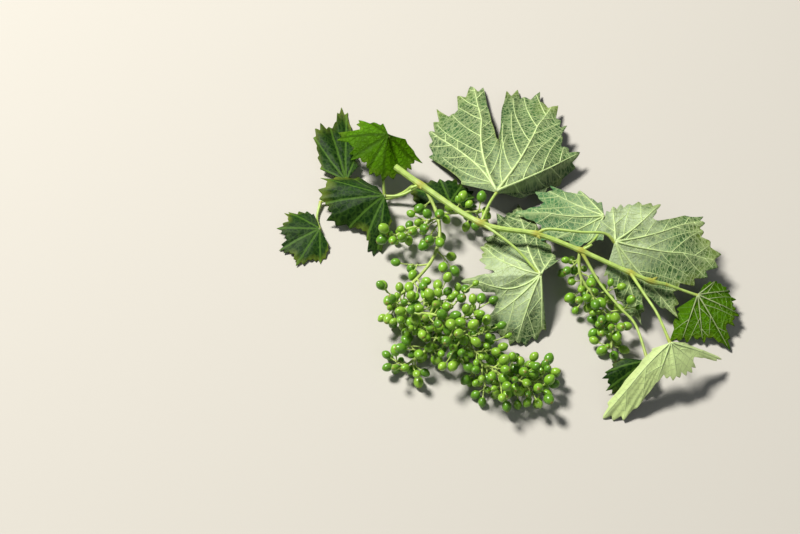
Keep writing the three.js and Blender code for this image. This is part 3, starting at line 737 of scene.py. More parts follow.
def drape(way, surface, radii, side, thickness):
    """A vein's points on the blade, half sunk into the side that they stand out of, with their radii."""
    points = []
    kept = []
    for (x, y), radius in zip(way, radii):
        hit = drop_on(surface, x, y)
        if hit is not None:
            spot = hit[0] + hit[1] * side * (thickness / 2 + VEIN_STANDS * radius)
            points.append((spot[0], spot[1], max(spot[2], radius + LOWEST_VEIN)))
            kept.append(radius)
        elif points:
            break
    return points, kept


def new_mesh(name, shape):
    """A mesh made of a bmesh, which is freed."""
    mesh = bpy.data.meshes.new(name)
    shape.to_mesh(mesh)
    shape.free()
    return mesh


def sweep(name, ways, sides):
    """One mesh of round stems: each way is its points and its radii, in millimetres."""
    curve = bpy.data.curves.new(name, "CURVE")
    curve.dimensions = "3D"
    curve.bevel_depth = MM
    curve.bevel_resolution = sides
    curve.use_fill_caps = True
    for points, radii in ways:
        if len(points) < 2:
            continue
        spline = curve.splines.new("POLY")
        spline.points.add(len(points) - 1)
        spline.points.foreach_set("co", np.hstack([place(points), np.ones((len(points), 1))]).ravel())
        spline.points.foreach_set("radius", np.asarray(radii, float))
    holder = bpy.data.objects.new(name, curve)
    bpy.context.scene.collection.objects.link(holder)
    drawn = bpy.data.meshes.new_from_object(holder.evaluated_get(bpy.context.evaluated_depsgraph_get()))
    shape = bmesh.new()
    shape.from_mesh(drawn)
    bmesh.ops.remove_doubles(shape, verts=shape.verts, dist=MERGE)
    bpy.data.objects.remove(holder)
    bpy.data.curves.remove(curve)
    bpy.data.meshes.remove(drawn)
    return new_mesh(name, shape)


def finish_piece(mesh, finishes, node):
    """Makes the mesh a smooth piece of the plant with its materials, riding on the plant's one body."""
    mesh.polygons.foreach_set("use_smooth", np.ones(len(mesh.polygons), bool))
    piece = bpy.data.objects.new(mesh.name, mesh)
    bpy.context.scene.collection.objects.link(piece)
    for finish in finishes:
        mesh.materials.append(finish)
    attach(piece, "root")
    if node:
        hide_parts(node)
    return piece


def frames_along(points):
    """The direction at each point of a line, with two crosswise directions that don't twist."""
    ahead = np.gradient(points, axis=0)
    ahead /= np.linalg.norm(ahead, axis=1)[:, None]
    side = np.empty_like(ahead)
    side[0] = unit(np.cross(ahead[0], (0, 0, 1)))
    for i in range(1, len(points)):
        side[i] = unit(side[i - 1] - ahead[i] * np.dot(side[i - 1], ahead[i]))
    return ahead, side, np.cross(ahead, side)


def rolled_tube(name, line, radius_rule, mark_rule, grid):
    """A grid rolled round a curve and closed at both ends. Its UV map is in decimetres along and round it."""
    steps, sides = grid
    points = even_points(line, steps + 1)
    length = np.sum(np.linalg.norm(np.diff(points, axis=0), axis=1))
    _, side, over = frames_along(points)
    shape = bmesh.new()
    layer = shape.loops.layers.uv.new("UVMap")
    bmesh.ops.create_grid(shape, x_segments=steps, y_segments=sides, size=0.5, calc_uvs=True)
    corners = np.array([v.co for v in shape.verts])
    step = np.round((corners[:, 0] + 0.5) * steps).astype(int)
    angle = (corners[:, 1] + 0.5) * 2 * np.pi
    radius = radius_rule(step / steps, angle)[:, None]
    bent = points[step] + (side[step] * np.cos(angle)[:, None] + over[step] * np.sin(angle)[:, None]) * radius
    mark = shape.verts.layers.float.new("joint")
    for vert, co, share in zip(shape.verts, place(bent), mark_rule(step / steps)):
        vert.co = co
        vert[mark] = share
    round_it = 2 * math.pi * float(np.mean(radius))
    for face in shape.faces:
        for loop in face.loops:
            u, v = loop[layer].uv
            loop[layer].uv = (u * length * UV_PER_MM, v * round_it * UV_PER_MM)
    bmesh.ops.remove_doubles(shape, verts=shape.verts, dist=MERGE)
    ends = bmesh.ops.holes_fill(shape, edges=[e for e in shape.edges if e.is_boundary], sides=0)["faces"]
    for face in ends:
        face.material_index = 1
    bmesh.ops.recalc_face_normals(shape, faces=shape.faces)
    for face in ends:
        for edge in face.edges:
            edge.smooth = False
    return new_mesh(name, shape)


def blade_grid(leaf, seed, looks):
    """A blade's middle surface, in rows from the joint outwards, with its toothed and wavy margin."""
    size = leaf_scale(leaf, SMALLEST_TOOTH)
    width = looks.tooth_width / MM * size
    ribs = np.array(leaf["ribs"], float)
    arcs = np.radians(np.diff(ribs[:, 0])) * (ribs[1:, 1] + ribs[:-1, 1]) / 2
    teeth = np.maximum(np.round(arcs / width), 1).astype(int)
    panels = len(teeth)
    stops = [0.0]
    for panel, count in enumerate(teeth):
        steps = count * COLUMNS_PER_TOOTH
        stops += [(panel + (k + 1) / steps) / panels for k in range(steps)]
    out = np.linspace(0, 1, int(max(rib[1] for rib in leaf["ribs"]) / ROW_SPACING) + 2)
    grid_out, grid_across = np.meshgrid(out, np.clip(np.array(stops), 0, 1 - 1e-9), indexing="ij")
    rule = toothed_edge(teeth, looks.tooth_depth / MM * size * np.minimum(arcs / width, 1), seed)
    points = blade_points(leaf, grid_across, grid_out, rule, start=BLADE_HEART)
    random = seeded(seed + 1)
    run = np.interp(grid_across * panels, np.arange(panels + 1), np.concatenate([[0], np.cumsum(arcs)]))
    for length in WAVE_LENGTHS:
        phase = 2 * math.pi * next(random)
        wave = np.sin(run / length * 2 * math.pi + phase) * grid_out ** 2
        points[..., 2] += looks.wave / MM / len(WAVE_LENGTHS) * wave * size
    joint = np.array(leaf["joint"], float)
    distance = np.linalg.norm(points[..., :2] - joint[:2], axis=-1)
    slope = (points[..., 2] - joint[2]) / distance
    for _ in range(FOLD_ROUNDING):
        slope[:, 1:-1] = (slope[:, :-2] + 2 * slope[:, 1:-1] + slope[:, 2:]) / 4
    points[..., 2] = joint[2] + slope * distance
    for length in SWELL_LENGTHS:
        heading = 2 * math.pi * next(random)
        phase = 2 * math.pi * next(random)
        along = points[..., 0] * math.cos(heading) + points[..., 1] * math.sin(heading)
        points[..., 2] += looks.swell / MM * np.sin(along / length * 2 * math.pi + phase) * grid_out * size
    return points, grid_out


def grid_normals(points):
    """The upward normal at each point of a bent grid."""
    normal = np.cross(np.gradient(points, axis=0), np.gradient(points, axis=1))
    return normal / np.maximum(np.linalg.norm(normal, axis=-1, keepdims=True), 1e-9)


def bent_grid(points):
    """A bmesh grid with the given points, in millimetres, which it takes column by column."""
    rows, columns = points.shape[:2]
    shape = bmesh.new()
    bmesh.ops.create_grid(shape, x_segments=rows - 1, y_segments=columns - 1, size=0.5)
    for vert, co in zip(shape.verts, points.swapaxes(0, 1).reshape(-1, 3)):
        vert.co = co
    return shape


def surface_of(points):
    """What a vein is dropped onto."""
    shape = bent_grid(points)
    surface = BVHTree.FromBMesh(shape)
    shape.free()
    return surface


def nearest_in_plan(points, ways):
    """How far each point of a grid is from the nearest of the veins, in plan."""
    places = points[..., :2].reshape(-1, 2)
    marks = np.vstack(ways)
    far = np.empty(len(places))
    for start in range(0, len(places), CHUNK):
        part = places[start:start + CHUNK]
        gap = (part[:, None, 0] - marks[None, :, 0]) ** 2 + (part[:, None, 1] - marks[None, :, 1]) ** 2
        far[start:start + CHUNK] = np.sqrt(gap.min(axis=1))
    return far.reshape(points.shape[:2])


def blade_mesh(name, joint, points, out, closeness, thickness):
    """A closed thin blade. Its UV map is in decimetres in plan, and its faces know which side they are on."""
    shape = bent_grid(points + grid_normals(points) * thickness / 2)
    layer = shape.loops.layers.uv.new("UVMap")
    for attribute, values in (("vein", closeness), ("rim", out)):
        mark = shape.verts.layers.float.new(attribute)
        for vert, value in zip(shape.verts, values.T.ravel()):
            vert[mark] = value
    for face in shape.faces:
        for loop in face.loops:
            co = loop.vert.co
            loop[layer].uv = ((co.x - joint[0]) * UV_PER_MM, (co.y - joint[1]) * UV_PER_MM)
    count = len(shape.faces)
    bmesh.ops.solidify(shape, geom=shape.faces[:], thickness=thickness)
    for k, face in enumerate(shape.faces):
        face.material_index = 1 if count <= k < 2 * count else 0
    for vert in shape.verts:
        vert.co = place(vert.co)
    return new_mesh(name, shape)


def make_leaf(short, leaf, seed, looks, finishes):
    """Builds one leaf's blade, its veins and its stalk."""
    thickness = looks.thickness / MM
    facing = 1 if leaf["up"] == "under" else -1
    leaf = {**leaf, "ribs": finer_ribs(leaf)}
    points, out = blade_grid(leaf, seed, looks)
    surface = surface_of(points)
    random = seeded(seed + 2)
    mains = main_veins(leaf, surface)
    sides = side_veins(mains, surface, random)
    nets = net_veins(mains + sides, surface, random)
    to_main = nearest_in_plan(points, mains)
    to_side = nearest_in_plan(points, mains + sides)
    pull = np.exp(-(to_main / MAIN_PULL) ** 2) + SIDE_PULL_SHARE * np.exp(-(to_side / SIDE_PULL) ** 2)
    deep = looks.pull / MM * leaf_scale(leaf, SMALLEST_PULL)
    points = points + grid_normals(points) * facing * (deep * pull)[..., None]
    points[..., 2] = np.maximum(points[..., 2], LOWEST_BLADE)
    closeness = np.exp(-(to_main / MAIN_HALO) ** 2) + SIDE_HALO_SHARE * np.exp(-(to_side / SIDE_HALO) ** 2)
    surface = surface_of(points)
    blade = blade_mesh(short + "_blade", leaf["joint"], points, out, closeness, thickness)
    lower = LOWER_SIDES.get(leaf["finish"], "deep")
    finish_piece(blade, [finishes[leaf["finish"]], finishes[lower]], "leaf_" + short)

    radius = looks.vein_radius / MM * leaf_scale(leaf, SMALLEST_VEINS) * (1 if facing > 0 else UPPER_VEINS)

    def draped(ways, ends):
        return [drape(way, surface, radius * between(ends, np.linspace(0, 1, len(way))), facing, thickness)
                for way in ways]

    veins = [([leaf["joint"]] + spots, [radius] + sizes) for spots, sizes in draped(mains, MAIN_SHARE)]
    veins += draped(sides, SIDE_SHARE)
    kinds = YOUNG_VEIN_KINDS if leaf["finish"] == "backlit" else VEIN_KINDS
    kind, fine_kind = kinds[leaf["up"]]
    finish_piece(sweep(short + "_veins", veins, 1), [finishes[kind]], None)
    finish_piece(sweep(short + "_net", draped(nets, NET_SHARE), 0), [finishes[fine_kind]], None)
    line = rooted(leaf["stalk"], leaf["carrier"])
    if len(line) > 3:
        line = line[:1] + line[2:]
    if facing < 0:
        line = line[:-2] + [(x, y, z - STALK_SINKS) for x, y, z in line[-2:]]
    rule = stalk_radius(leaf_scale(leaf, SMALLEST_STALK))
    stalk = rolled_tube(short + "_stalk", line, rule, stalk_ends, STALK_GRID)
    finish_piece(stalk, [finishes["stalk"]] * 2, None)


def stalk_radius(size):
    """A leaf stalk's radius: swollen at both ends, with a shallow groove along it."""
    def rule(t, angle):
        swelling = (1 - t) ** STALK_FLARE + STALK_HEAD * t ** (2 * STALK_FLARE)
        groove = 1 - STALK_GROOVE * np.exp(-(np.abs(angle - math.pi) / STALK_GROOVE_WIDTH) ** 2)
        return (STALK_RADIUS * size + (STALK_FOOT_RADIUS - STALK_RADIUS) * swelling) * groove
    return rule


def stalk_ends(t):
    """How near a share of a stalk's length is to either of its ends, from 0 to 1."""
    return np.exp(-(t / STALK_END) ** 2) + STALK_FAR_END * np.exp(-((1 - t) / STALK_END) ** 2)


def berry_template():
    """A berry of radius one: a little flat where its stalk joins, and drawn to a dry dot at its far end."""
    shape = bmesh.new()
    bmesh.ops.create_uvsphere(shape, u_segments=BERRY_GRID[0], v_segments=BERRY_GRID[1], radius=1)
    for vert in shape.verts:
        x, y, z = vert.co
        away = math.acos(max(min(z, 1), -1))
        drawn = away - BERRY_DRAWN * math.sin(away) * (1 + z) / 2
        flat = math.hypot(x, y)
        share = math.sin(drawn) / flat if flat > 1e-6 else 1
        vert.co = (x * share, y * share, math.cos(drawn) + BERRY_POINT * max(z, 0) ** 4)
    corners = np.array([v.co for v in shape.verts])
    faces = [[v.index for v in face.verts] for face in shape.faces]
    ends = [len(face.verts) == 3 and face.calc_center_median().z > 0 for face in shape.faces]
    shape.free()
    return corners, faces, ends


def turned_to(axis):
    """A matrix that turns +Z to an axis."""
    side = np.cross((0, 0, 1), axis)
    side = unit(side if np.linalg.norm(side) > 1e-6 else np.array([1.0, 0, 0]))
    return np.column_stack([side, np.cross(axis, side), axis])


def berries_mesh(name, berries, random):
    """One mesh of many berries, with a colour dealt out to each by its material."""
    corners, faces, ends = berry_template()
    verts = []
    polygons = []
    kinds = []
    for start, centre, radius in berries:
        sizes = (radius * between(BERRY_WIDTH, next(random)), radius, radius * BERRY_LENGTH)
        shape = corners * sizes * BERRY_SWELL
        spots = shape @ turned_to(unit(centre - start)).T + centre
        spots[:, 2] += max(BERRY_LOWEST - spots[:, 2].min(), 0)
        polygons.extend([[len(verts) + k for k in face] for face in faces])
        verts.extend(map(tuple, place(spots)))
        kind = int(next(random) * BERRY_KINDS)
        dot = BERRY_KINDS if next(random) < DRY_DOTS else kind
        kinds.extend([dot if end else kind for end in ends])
    mesh = bpy.data.meshes.new(name)
    mesh.from_pydata(verts, [], polygons)
    mesh.polygons.foreach_set("material_index", kinds)
    return mesh


def bowed(start, end, count, bow=0):
    """Points from start to end that sag by a share of their length."""
    start, end = np.asarray(start, float), np.asarray(end, float)
    t = np.linspace(0, 1, count)[:, None]
    points = start + (end - start) * t
    points[:, 2] -= (4 * t * (1 - t))[:, 0] * bow * np.linalg.norm(end - start)
    return points


def bunch_stems(arm, stems, random):
    """The ways of an arm, its side stems and the stalks of its berries."""
    line = even_points(rooted(arm["line"], arm["carrier"]), ARM_RINGS)
    radii = between(arm["radius"], np.linspace(0, 1, ARM_RINGS))
    for stem in stems:
        gap = np.linalg.norm(line - stem["foot"], axis=1)
        radii = radii + ARM_KNOT * np.exp(-(gap / ARM_KNOT_LENGTH) ** 2)
    ways = [(line, radii)]
    marks = len(BERRY_STALK_PROFILE)
    for stem in stems:
        ways.append((bowed(stem["foot"], stem["tip"], marks, between(SAG, next(random))),
                     between(SIDE_STEM_RADII, np.linspace(0, 1, marks))))
        for start, centre, radius in stem["berries"]:
            seat = centre - unit(centre - start) * radius * BERRY_SEAT
            ways.append((bowed(start, seat, marks, between(SAG, next(random))), BERRY_STALK_PROFILE))
    return ways


def node_closeness(t):
    """How near a share of the shoot's length is to one of its swollen joints, from 0 to 1."""
    return sum(np.exp(-((t - at) / NODE_SPREAD) ** 2) for at in SHOOT_NODES)


def shoot_radius(ridge):
    """The shoot's radius: tapering, swollen at its joints, and finely ridged."""
    def rule(t, angle):
        lop = sum(np.exp(-((t - at) / NODE_SPREAD) ** 2) * np.cos(angle - TURN * k)
                  for k, at in enumerate(SHOOT_NODES))
        finer = FINER_RIDGES * np.cos(2 * RIDGES * angle + RIDGE_TWIST * t)
        ridges = ridge * (np.cos(RIDGES * angle) + finer)
        return between(SHOOT_RADII, t) + NODE_SWELLING * (node_closeness(t) + NODE_LOP * lop) + ridges
    return rule


def side_shoot_radius(t, angle):
    """The side shoot's radius: an even taper with low ridges."""
    return between(SIDE_SHOOT_RADII, t) + SIDE_RIDGE * np.cos(RIDGES * angle)


def a_size(name, description, default):
    """A length that the panel offers, in metres."""
    return bpy.props.FloatProperty(name=name, description=description, default=default, unit="LENGTH")


def a_colour(name, description, code):
    """A colour that the panel offers, from its sRGB hex value."""
    return bpy.props.FloatVectorProperty(
        name=name, description=description, subtype="COLOR", default=linear(code), min=0, max=1)


def a_power(name, description, default):
    """A strength of light that the panel offers."""
    return bpy.props.FloatProperty(name=name, description=description, default=default, min=0)


class BladeLooks(bpy.types.PropertyGroup):
    """Sizes and colours of the leaves."""

    tooth_width: a_size("Tooth width", "Length of margin that one tooth of a large leaf takes", 0.0105)
    tooth_depth: a_size("Tooth depth", "Depth of a large leaf's notches", 0.0048)
    thickness: a_size("Thickness", "Thickness of the blades", 0.0004)
    wave: a_size("Wave", "Height of the waves of the margin", 0.0034)
    swell: a_size("Swell", "Height of the broad swells across a blade", 0.0008)
    pull: a_size("Pull", "How far the veins pull the blade to its underside", 0.0013)
    vein_radius: a_size("Vein radius", "Radius of a large leaf's main veins at the joint", 0.0014)
    felted: a_colour("Felted underside", "Colour of the downy undersides", "#2f5c28")
    bluish: a_colour("Bluish underside", "Colour of the folded leaf", "#3a7240")
    pale: a_colour("Pale underside", "Colour of the palest leaf", "#cbe193")
    deep: a_colour("Upper side", "Colour of the upper sides", "#12300b")
    backlit: a_colour("Thin blade", "Colour of the thin young blades that light comes through", "#669f0c")
    vein: a_colour("Vein", "Colour of the veins on the undersides", "#c3d896")
    groove: a_colour("Groove", "Colour of the sunken veins on the upper sides", "#6d9a35")
    # This colour makes pale downy patches on the undersides. They are partly real hairs and partly a painted
    # highlight where a blade faced the light.
    down_and_highlight: a_colour("Down and highlight", "Colour of the pale down on the undersides", "#bccfa6")
    edge: a_colour("Edge", "Colour of the margins where they have turned", "#97a83a")


class StemLooks(bpy.types.PropertyGroup):
    """Sizes and colours of the shoot and the stalks."""

    ridge: a_size("Ridge", "Height of the ridges along the shoot", 0.00013)
    skin: a_colour("Shoot skin", "Colour of the green shoot", "#a9c464")
    joint: a_colour("Joints", "Colour of the swollen joints", "#a3a646")
    cut: a_colour("Cut face", "Colour of the cut and broken ends", "#c9b98a")


class BerryLooks(bpy.types.PropertyGroup):
    """Colours of the berries and the stems of the bunches."""

    fresh: a_colour("Fresh berry", "Colour of most berries", "#78a82c")
    deep: a_colour("Deep berry", "Colour of the darker berries", "#5f9026")
    bright: a_colour("Bright berry", "Colour of the yellower berries", "#86b036")
    scar: a_colour("Berry tip", "Colour of the dry dot at a berry's far end", "#8b8a3c")
    stem: a_colour("Bunch stems", "Colour of the stems of the bunches", "#a9bf62")


class StageLooks(bpy.types.PropertyGroup):
    """The plain floor and the soft light."""

    floor: a_colour("Floor", "Colour of the floor", "#bfbcb4")
    key: a_power("Key light", "Power of the key light", 235)
    fill: a_power("Fill light", "Power of the fill light", 4)
    world: a_power("World", "Strength of the light from all round", 0.11)


def add_node(tree, kind, settings, inputs):
    """Adds a node with its settings. An input is a value, a node, or a node with one of its outputs."""
    node = tree.nodes.new("ShaderNode" + kind)
    for name, value in settings.items():
        setattr(node, name, value)
    for name, value in inputs.items():
        source, output = value if isinstance(value, tuple) and len(value) == 2 else (value, 0)
        if isinstance(source, bpy.types.Node):
            tree.links.new(source.outputs[output], node.inputs[name])
        else:
            node.inputs[name].default_value = value
    return node


def new_material(name):
    """A material with an empty node tree, and what adds a node to it."""
    material = bpy.data.materials.new(name)
    material.use_nodes = True
    material.node_tree.nodes.clear()
    return material, partial(add_node, material.node_tree)


def shaded(colour, share):
    """A colour made brighter or darker by a share."""
    return tuple(min(c * share, 1) for c in colour)


def rgba(colour, share=1.0):
    """A colour as four numbers, brighter or darker by a share."""
    return (*shaded(colour, share), 1)


# A mix of two colours: its share is input 0, its colours are inputs 6 and 7, and its result is output 2
COLOUR_MIX = {"data_type": "RGBA"}


def blade_material(name, face, vein, edge, down_and_highlight_colour, looks):
    """Leaf blade, grown: a soft surface quilted by its net of veins, that some light comes through.

    The finest net of a real blade is too small to show, so its cells are drawn about twice as wide.
    """
    material, node = new_material(name)
    uv = node("UVMap", {"uv_map": "UVMap"}, {})
    warp = node("TexNoise", {}, {"Vector": uv, "Scale": 40, "Detail": 1})
    bent = node("VectorMath", {"operation": "MULTIPLY_ADD"}, {0: (warp, "Color"), 1: (0.02, 0.02, 0), 2: uv})
    cells, fine = (
        node("TexVoronoi", {"feature": "DISTANCE_TO_EDGE"},
             {"Vector": bent, "Scale": 1 / (looks["cell"] * width * UV_PER_MM)}) for width in (1, 0.45))
    mottle, broad = (node("TexNoise", {}, {"Vector": uv, "Scale": scale, "Detail": detail})
                     for scale, detail in ((3.4, 4), (2.2, 1)))
    near_vein, near_rim = (node("Attribute", {"attribute_name": layer}, {}) for layer in ("vein", "rim"))
    # Distance from the middle of a pale downy patch. The patch is partly real hairs and partly a painted
    # highlight where a blade faced the light.
    away = node("VectorMath", {"operation": "DISTANCE"}, {0: uv, 1: (*looks["down_and_highlight_at"], 0)})
    net, small, spread, halo, rim, patch, near = (
        node("MapRange", {}, {"Value": value, "From Min": low, "From Max": high, "To Max": top})
        for value, low, high, top in (
            (cells, 0.17, 0.03, looks["net"]), (fine, 0.15, 0.04, looks["net"] * 0.45),
            (mottle, 0.35, 0.68, 1),
            ((near_vein, "Fac"), looks["narrow"], 1, looks["halo"]), ((near_rim, "Fac"), 0.8, 1, 1),
            (broad, 0.42, 0.62, looks["edge"]), ((away, "Value"), looks["down_and_highlight_reach"], 0.1, looks["down_and_highlight"])))
    turned = node("Math", {"operation": "MULTIPLY"}, {0: rim, 1: patch})
    # The pale downy patch and painted highlight, broken up by the mottle.
    down_and_highlight = node("Math", {"operation": "MULTIPLY"}, {0: near, 1: spread})
    relief = node("Math", {"operation": "ADD"}, {0: small, 1: net})
    tone = node("Mix", COLOUR_MIX, {0: spread, 6: rgba(face, 0.62), 7: rgba(face, 1.25)})
    for share, colour in ((turned, rgba(edge)), (down_and_highlight, rgba(down_and_highlight_colour)), (small, rgba(vein, 0.7)),
                          (net, rgba(vein, 0.85)), (halo, rgba(vein))):
        tone = node("Mix", COLOUR_MIX, {0: share, 6: (tone, 2), 7: colour})
    bump = node("Bump", {}, {"Height": relief, "Strength": looks["bump"], "Distance": 0.0008})
    skin = node("BsdfPrincipled", {}, {
        "Base Color": (tone, 2), "Normal": bump, "Roughness": looks["roughness"], "IOR": 1.42,
        "Specular IOR Level": looks["gloss"], "Sheen Weight": looks["sheen"], "Sheen Roughness": 0.5})
    through = node("BsdfTranslucent", {}, {"Color": (tone, 2), "Normal": bump})
    both = node("MixShader", {}, {0: looks["through"], 1: skin, 2: through})
    node("OutputMaterial", {}, {"Surface": both})
    return material


def mottled(node, colour, scale, detail, top, shades):
    """Noise in the object's own space, and a colour that it makes darker and lighter."""
    spot = (node("TexCoord", {}, {}), "Object")
    noise = node("TexNoise", {}, {"Vector": spot, "Scale": scale, "Detail": detail})
    spread = node("MapRange", {}, {"Value": noise, "From Min": 0.35, "From Max": top})
    low, high = (rgba(colour, shade) for shade in shades)
    return spot, noise, node("Mix", COLOUR_MIX, {0: spread, 6: low, 7: high})


def surfaced(node, tone, height, strength, distance, inputs):
    """Ends a material with a bumpy surface of a colour."""
    bump = node("Bump", {}, {"Height": height, "Strength": strength, "Distance": distance})
    skin = node("BsdfPrincipled", {}, {"Base Color": (tone, 2), "Normal": bump, **inputs})
    node("OutputMaterial", {}, {"Surface": skin})


def stem_material(name, skin_colour, joint_colour, roughness):
    """Green stem, grown: a smooth waxy skin with fine streaks along it, yellower where it swells."""
    material, node = new_material(name)
    spot, streaks, tone = mottled(node, skin_colour, 220, 3, 0.65, (0.84, 1.1))
    patches = node("TexNoise", {}, {"Vector": spot, "Scale": 35, "Detail": 2})
    patch = node("MapRange", {}, {"Value": patches, "From Min": 0.58, "From Max": 0.95})
    swollen = node("Attribute", {"attribute_name": "joint"}, {})
    patched = node("Mix", COLOUR_MIX, {0: patch, 6: (tone, 2), 7: rgba(joint_colour, 0.95)})
    yellowed = node("Mix", COLOUR_MIX, {0: (swollen, "Fac"), 6: (patched, 2), 7: rgba(joint_colour)})
    surfaced(node, yellowed, streaks, 0.25, 0.0004, {
        "Roughness": roughness, "IOR": 1.45, "Subsurface Weight": 0.12, "Subsurface Radius": (0.6, 1.0, 0.3),
        "Subsurface Scale": 0.001})
    return material


def plain_material(name, colour, roughness):
    """Dry plant matter or a cut face: matt, with a fine grain."""
    material, node = new_material(name)
    _, grain, tone = mottled(node, colour, 700, 2, 0.65, (0.75, 1.1))
    surfaced(node, tone, grain, 0.3, 0.0003, {"Roughness": roughness, "IOR": 1.45})
    return material


def berry_material(name, colour):
    """Unripe berry skin, grown: taut and faintly waxy, with light inside its flesh and tiny pale dots."""
    material, node = new_material(name)
    spot, patches, tone = mottled(node, colour, 130, 2, 0.68, (0.8, 1.15))
    dots = node("TexVoronoi", {}, {"Vector": spot, "Scale": 900})
    dot = node("MapRange", {}, {"Value": dots, "From Min": 0.2, "From Max": 0.1})
    dotted = node("Mix", COLOUR_MIX, {0: dot, 6: (tone, 2), 7: rgba(colour, 1.6)})
    surfaced(node, dotted, patches, 0.12, 0.0004, {
        "Roughness": 0.32, "IOR": 1.42, "Subsurface Weight": 0.2, "Subsurface Radius": (0.7, 1.0, 0.25),
        "Subsurface Scale": 0.002, "Coat Weight": 0.25, "Coat Roughness": 0.2})
    return material


def floor_material(name, colour):
    """Matt paper backdrop: one even tone, so that nothing draws the eye from the plant."""
    material, node = new_material(name)
    paper = node("BsdfPrincipled", {}, {"Base Color": rgba(colour), "Roughness": 0.95, "IOR": 1.3})
    node("OutputMaterial", {}, {"Surface": paper})
    return material


def leaf_finishes(blades, stems):
    """The materials of the leaves by name: blades by their finish, veins by how they stand, and the stalk.

    cell is the width of the net's cells in millimetres, and narrow the closeness to a vein, from 0 to 1, at
    which its paler halo starts. A pale downy patch lies round a middle given from the joint, with a reach,
    both in decimetres; it is partly real hairs and partly a painted highlight where a blade faced the light.
    """
    under = {"cell": 3.8, "net": 0.4, "halo": 0.35, "narrow": 0, "down_and_highlight": 0.9, "down_and_highlight_at": (0.08, 0.1),
             "down_and_highlight_reach": 0.5, "edge": 0.5, "bump": 0.6, "roughness": 0.6, "gloss": 0.35, "sheen": 0.05,
             "through": 0.18}
    upper = {**under, "cell": 4.2, "net": 0.12, "halo": 0.3, "narrow": 0.88, "down_and_highlight": 0, "edge": 0.4,
             "roughness": 0.5, "gloss": 0.12, "sheen": 0, "through": 0.12}
    # On thin blades the band along each vein is wide and takes the dark vein colour: painted shade beside the
    # veins.
    thin = {**upper, "net": 0.35, "halo": 0.8, "narrow": 0.45, "bump": 0.9, "through": 0.5}
    faint = {**under, "net": 0.1, "down_and_highlight": 0.3, "through": 0.08}
    # On these two finishes the pale downy patch is mostly a painted highlight: on the west lobe of the middle
    # leaf, and near the joint of the east leaf.
    west = {**under, "down_and_highlight": 2.2, "down_and_highlight_at": (-0.26, -0.02), "down_and_highlight_reach": 0.42}
    centre = {**west, "down_and_highlight_at": (0.1, 0.12)}
    made = {"stalk": stem_material("leaf_stalk_green", stems.skin, stems.joint, 0.42)}
    for finish, name, face, vein, edge, looks in (
            ("felted", "underside_downy", blades.felted, blades.vein, blades.edge, under),
            ("bluish", "underside_bluish", blades.bluish, blades.vein, blades.bluish, {**under, "net": 0.3}),
            ("pale", "underside_pale", blades.pale, blades.vein, blades.pale, faint),
            ("deep", "upper_glossy", blades.deep, blades.groove, blades.edge, upper),
            # Thin blades take a dark colour for their net and the band along each vein: painted shade of the
            # veins against the light that comes through.
            ("backlit", "thin_young", blades.backlit, shaded(blades.backlit, 0.4), blades.edge, thin),
            ("painted_highlight_west", "underside_painted_highlight_west", blades.felted, blades.vein, blades.edge, west),
            ("painted_highlight_centre", "underside_painted_highlight_centre", blades.felted, blades.vein, blades.edge, centre)):
        made[finish] = blade_material("leaf_" + name, face, vein, edge, blades.down_and_highlight, looks)
    # The main veins of a thin blade that shows its upper side are darker than the blade: painted shade
    # against the light that comes through.
    for name, colour, share in (
            ("raised", blades.vein, 1), ("fine", blades.vein, 0.72), ("flush", blades.vein, 0.4),
            ("flush_fine", blades.vein, 0.28), ("young", blades.backlit, 0.5),
            ("young_fine", blades.groove, 1.1), ("young_raised", blades.vein, 0.62)):
        made[name] = stem_material("leaf_vein_" + name, shaded(colour, share), colour, 0.5)
    return made


class VINE_OT_shoot(bpy.types.Operator):
    """Builds the shoot with its swollen joints, its ridges and its broken stubs"""

    bl_idname = "vine.shoot"
    bl_label = "Build shoot"

    def execute(self, context):
        looks = context.scene.vine_stems
        skin = stem_material("shoot_skin_green", looks.skin, looks.joint, 0.4)
        cut = plain_material("shoot_cut_face", looks.cut, 0.8)
        rule = shoot_radius(looks.ridge / MM)
        tube = rolled_tube("shoot_stem", SHOOT_LINE, rule, node_closeness, SHOOT_GRID)
        finish_piece(tube, [skin, cut], "shoot")
        stubs = [(bowed(foot, end, len(STUB_PROFILE)), np.array(STUB_PROFILE) * radius)
                 for foot, end, radius in STUBS]
        finish_piece(sweep("shoot_stubs", stubs, 3), [skin], None)
        line = even_points(SHOOT_LINE, STEM_MARKS_FINE)
        ahead, side, _ = frames_along(line)
        buds = []
        for k, share in enumerate(SHOOT_NODES):
            index = int(share * (STEM_MARKS_FINE - 1))
            lean = unit(ahead[index] + side[index] * (-1) ** k + (0, 0, BUD_LIFT))
            start = line[index] + lean * BUD_START
            buds.append((bowed(start, start + lean * BUD_LENGTH, len(BUD_PROFILE)), BUD_PROFILE))
        bud = plain_material("shoot_bud_scaly", looks.joint, 0.7)
        finish_piece(sweep("shoot_buds", buds, 3), [bud], None)
        return {"FINISHED"}


class VINE_OT_side_shoot(bpy.types.Operator):
    """Builds the thin side shoot under the western leaves"""

    bl_idname = "vine.side_shoot"
    bl_label = "Build side shoot"

    def execute(self, context):
        looks = context.scene.vine_stems
        skin = stem_material("side_shoot_skin_green", looks.skin, looks.joint, 0.45)
        cut = plain_material("side_shoot_end", looks.cut, 0.8)
        line = rooted(SIDE_SHOOT_LINE, "shoot")
        stem = rolled_tube("side_shoot_stem", line, side_shoot_radius, np.zeros_like, SIDE_SHOOT_GRID)
        finish_piece(stem, [skin, cut], "side_shoot")
        return {"FINISHED"}


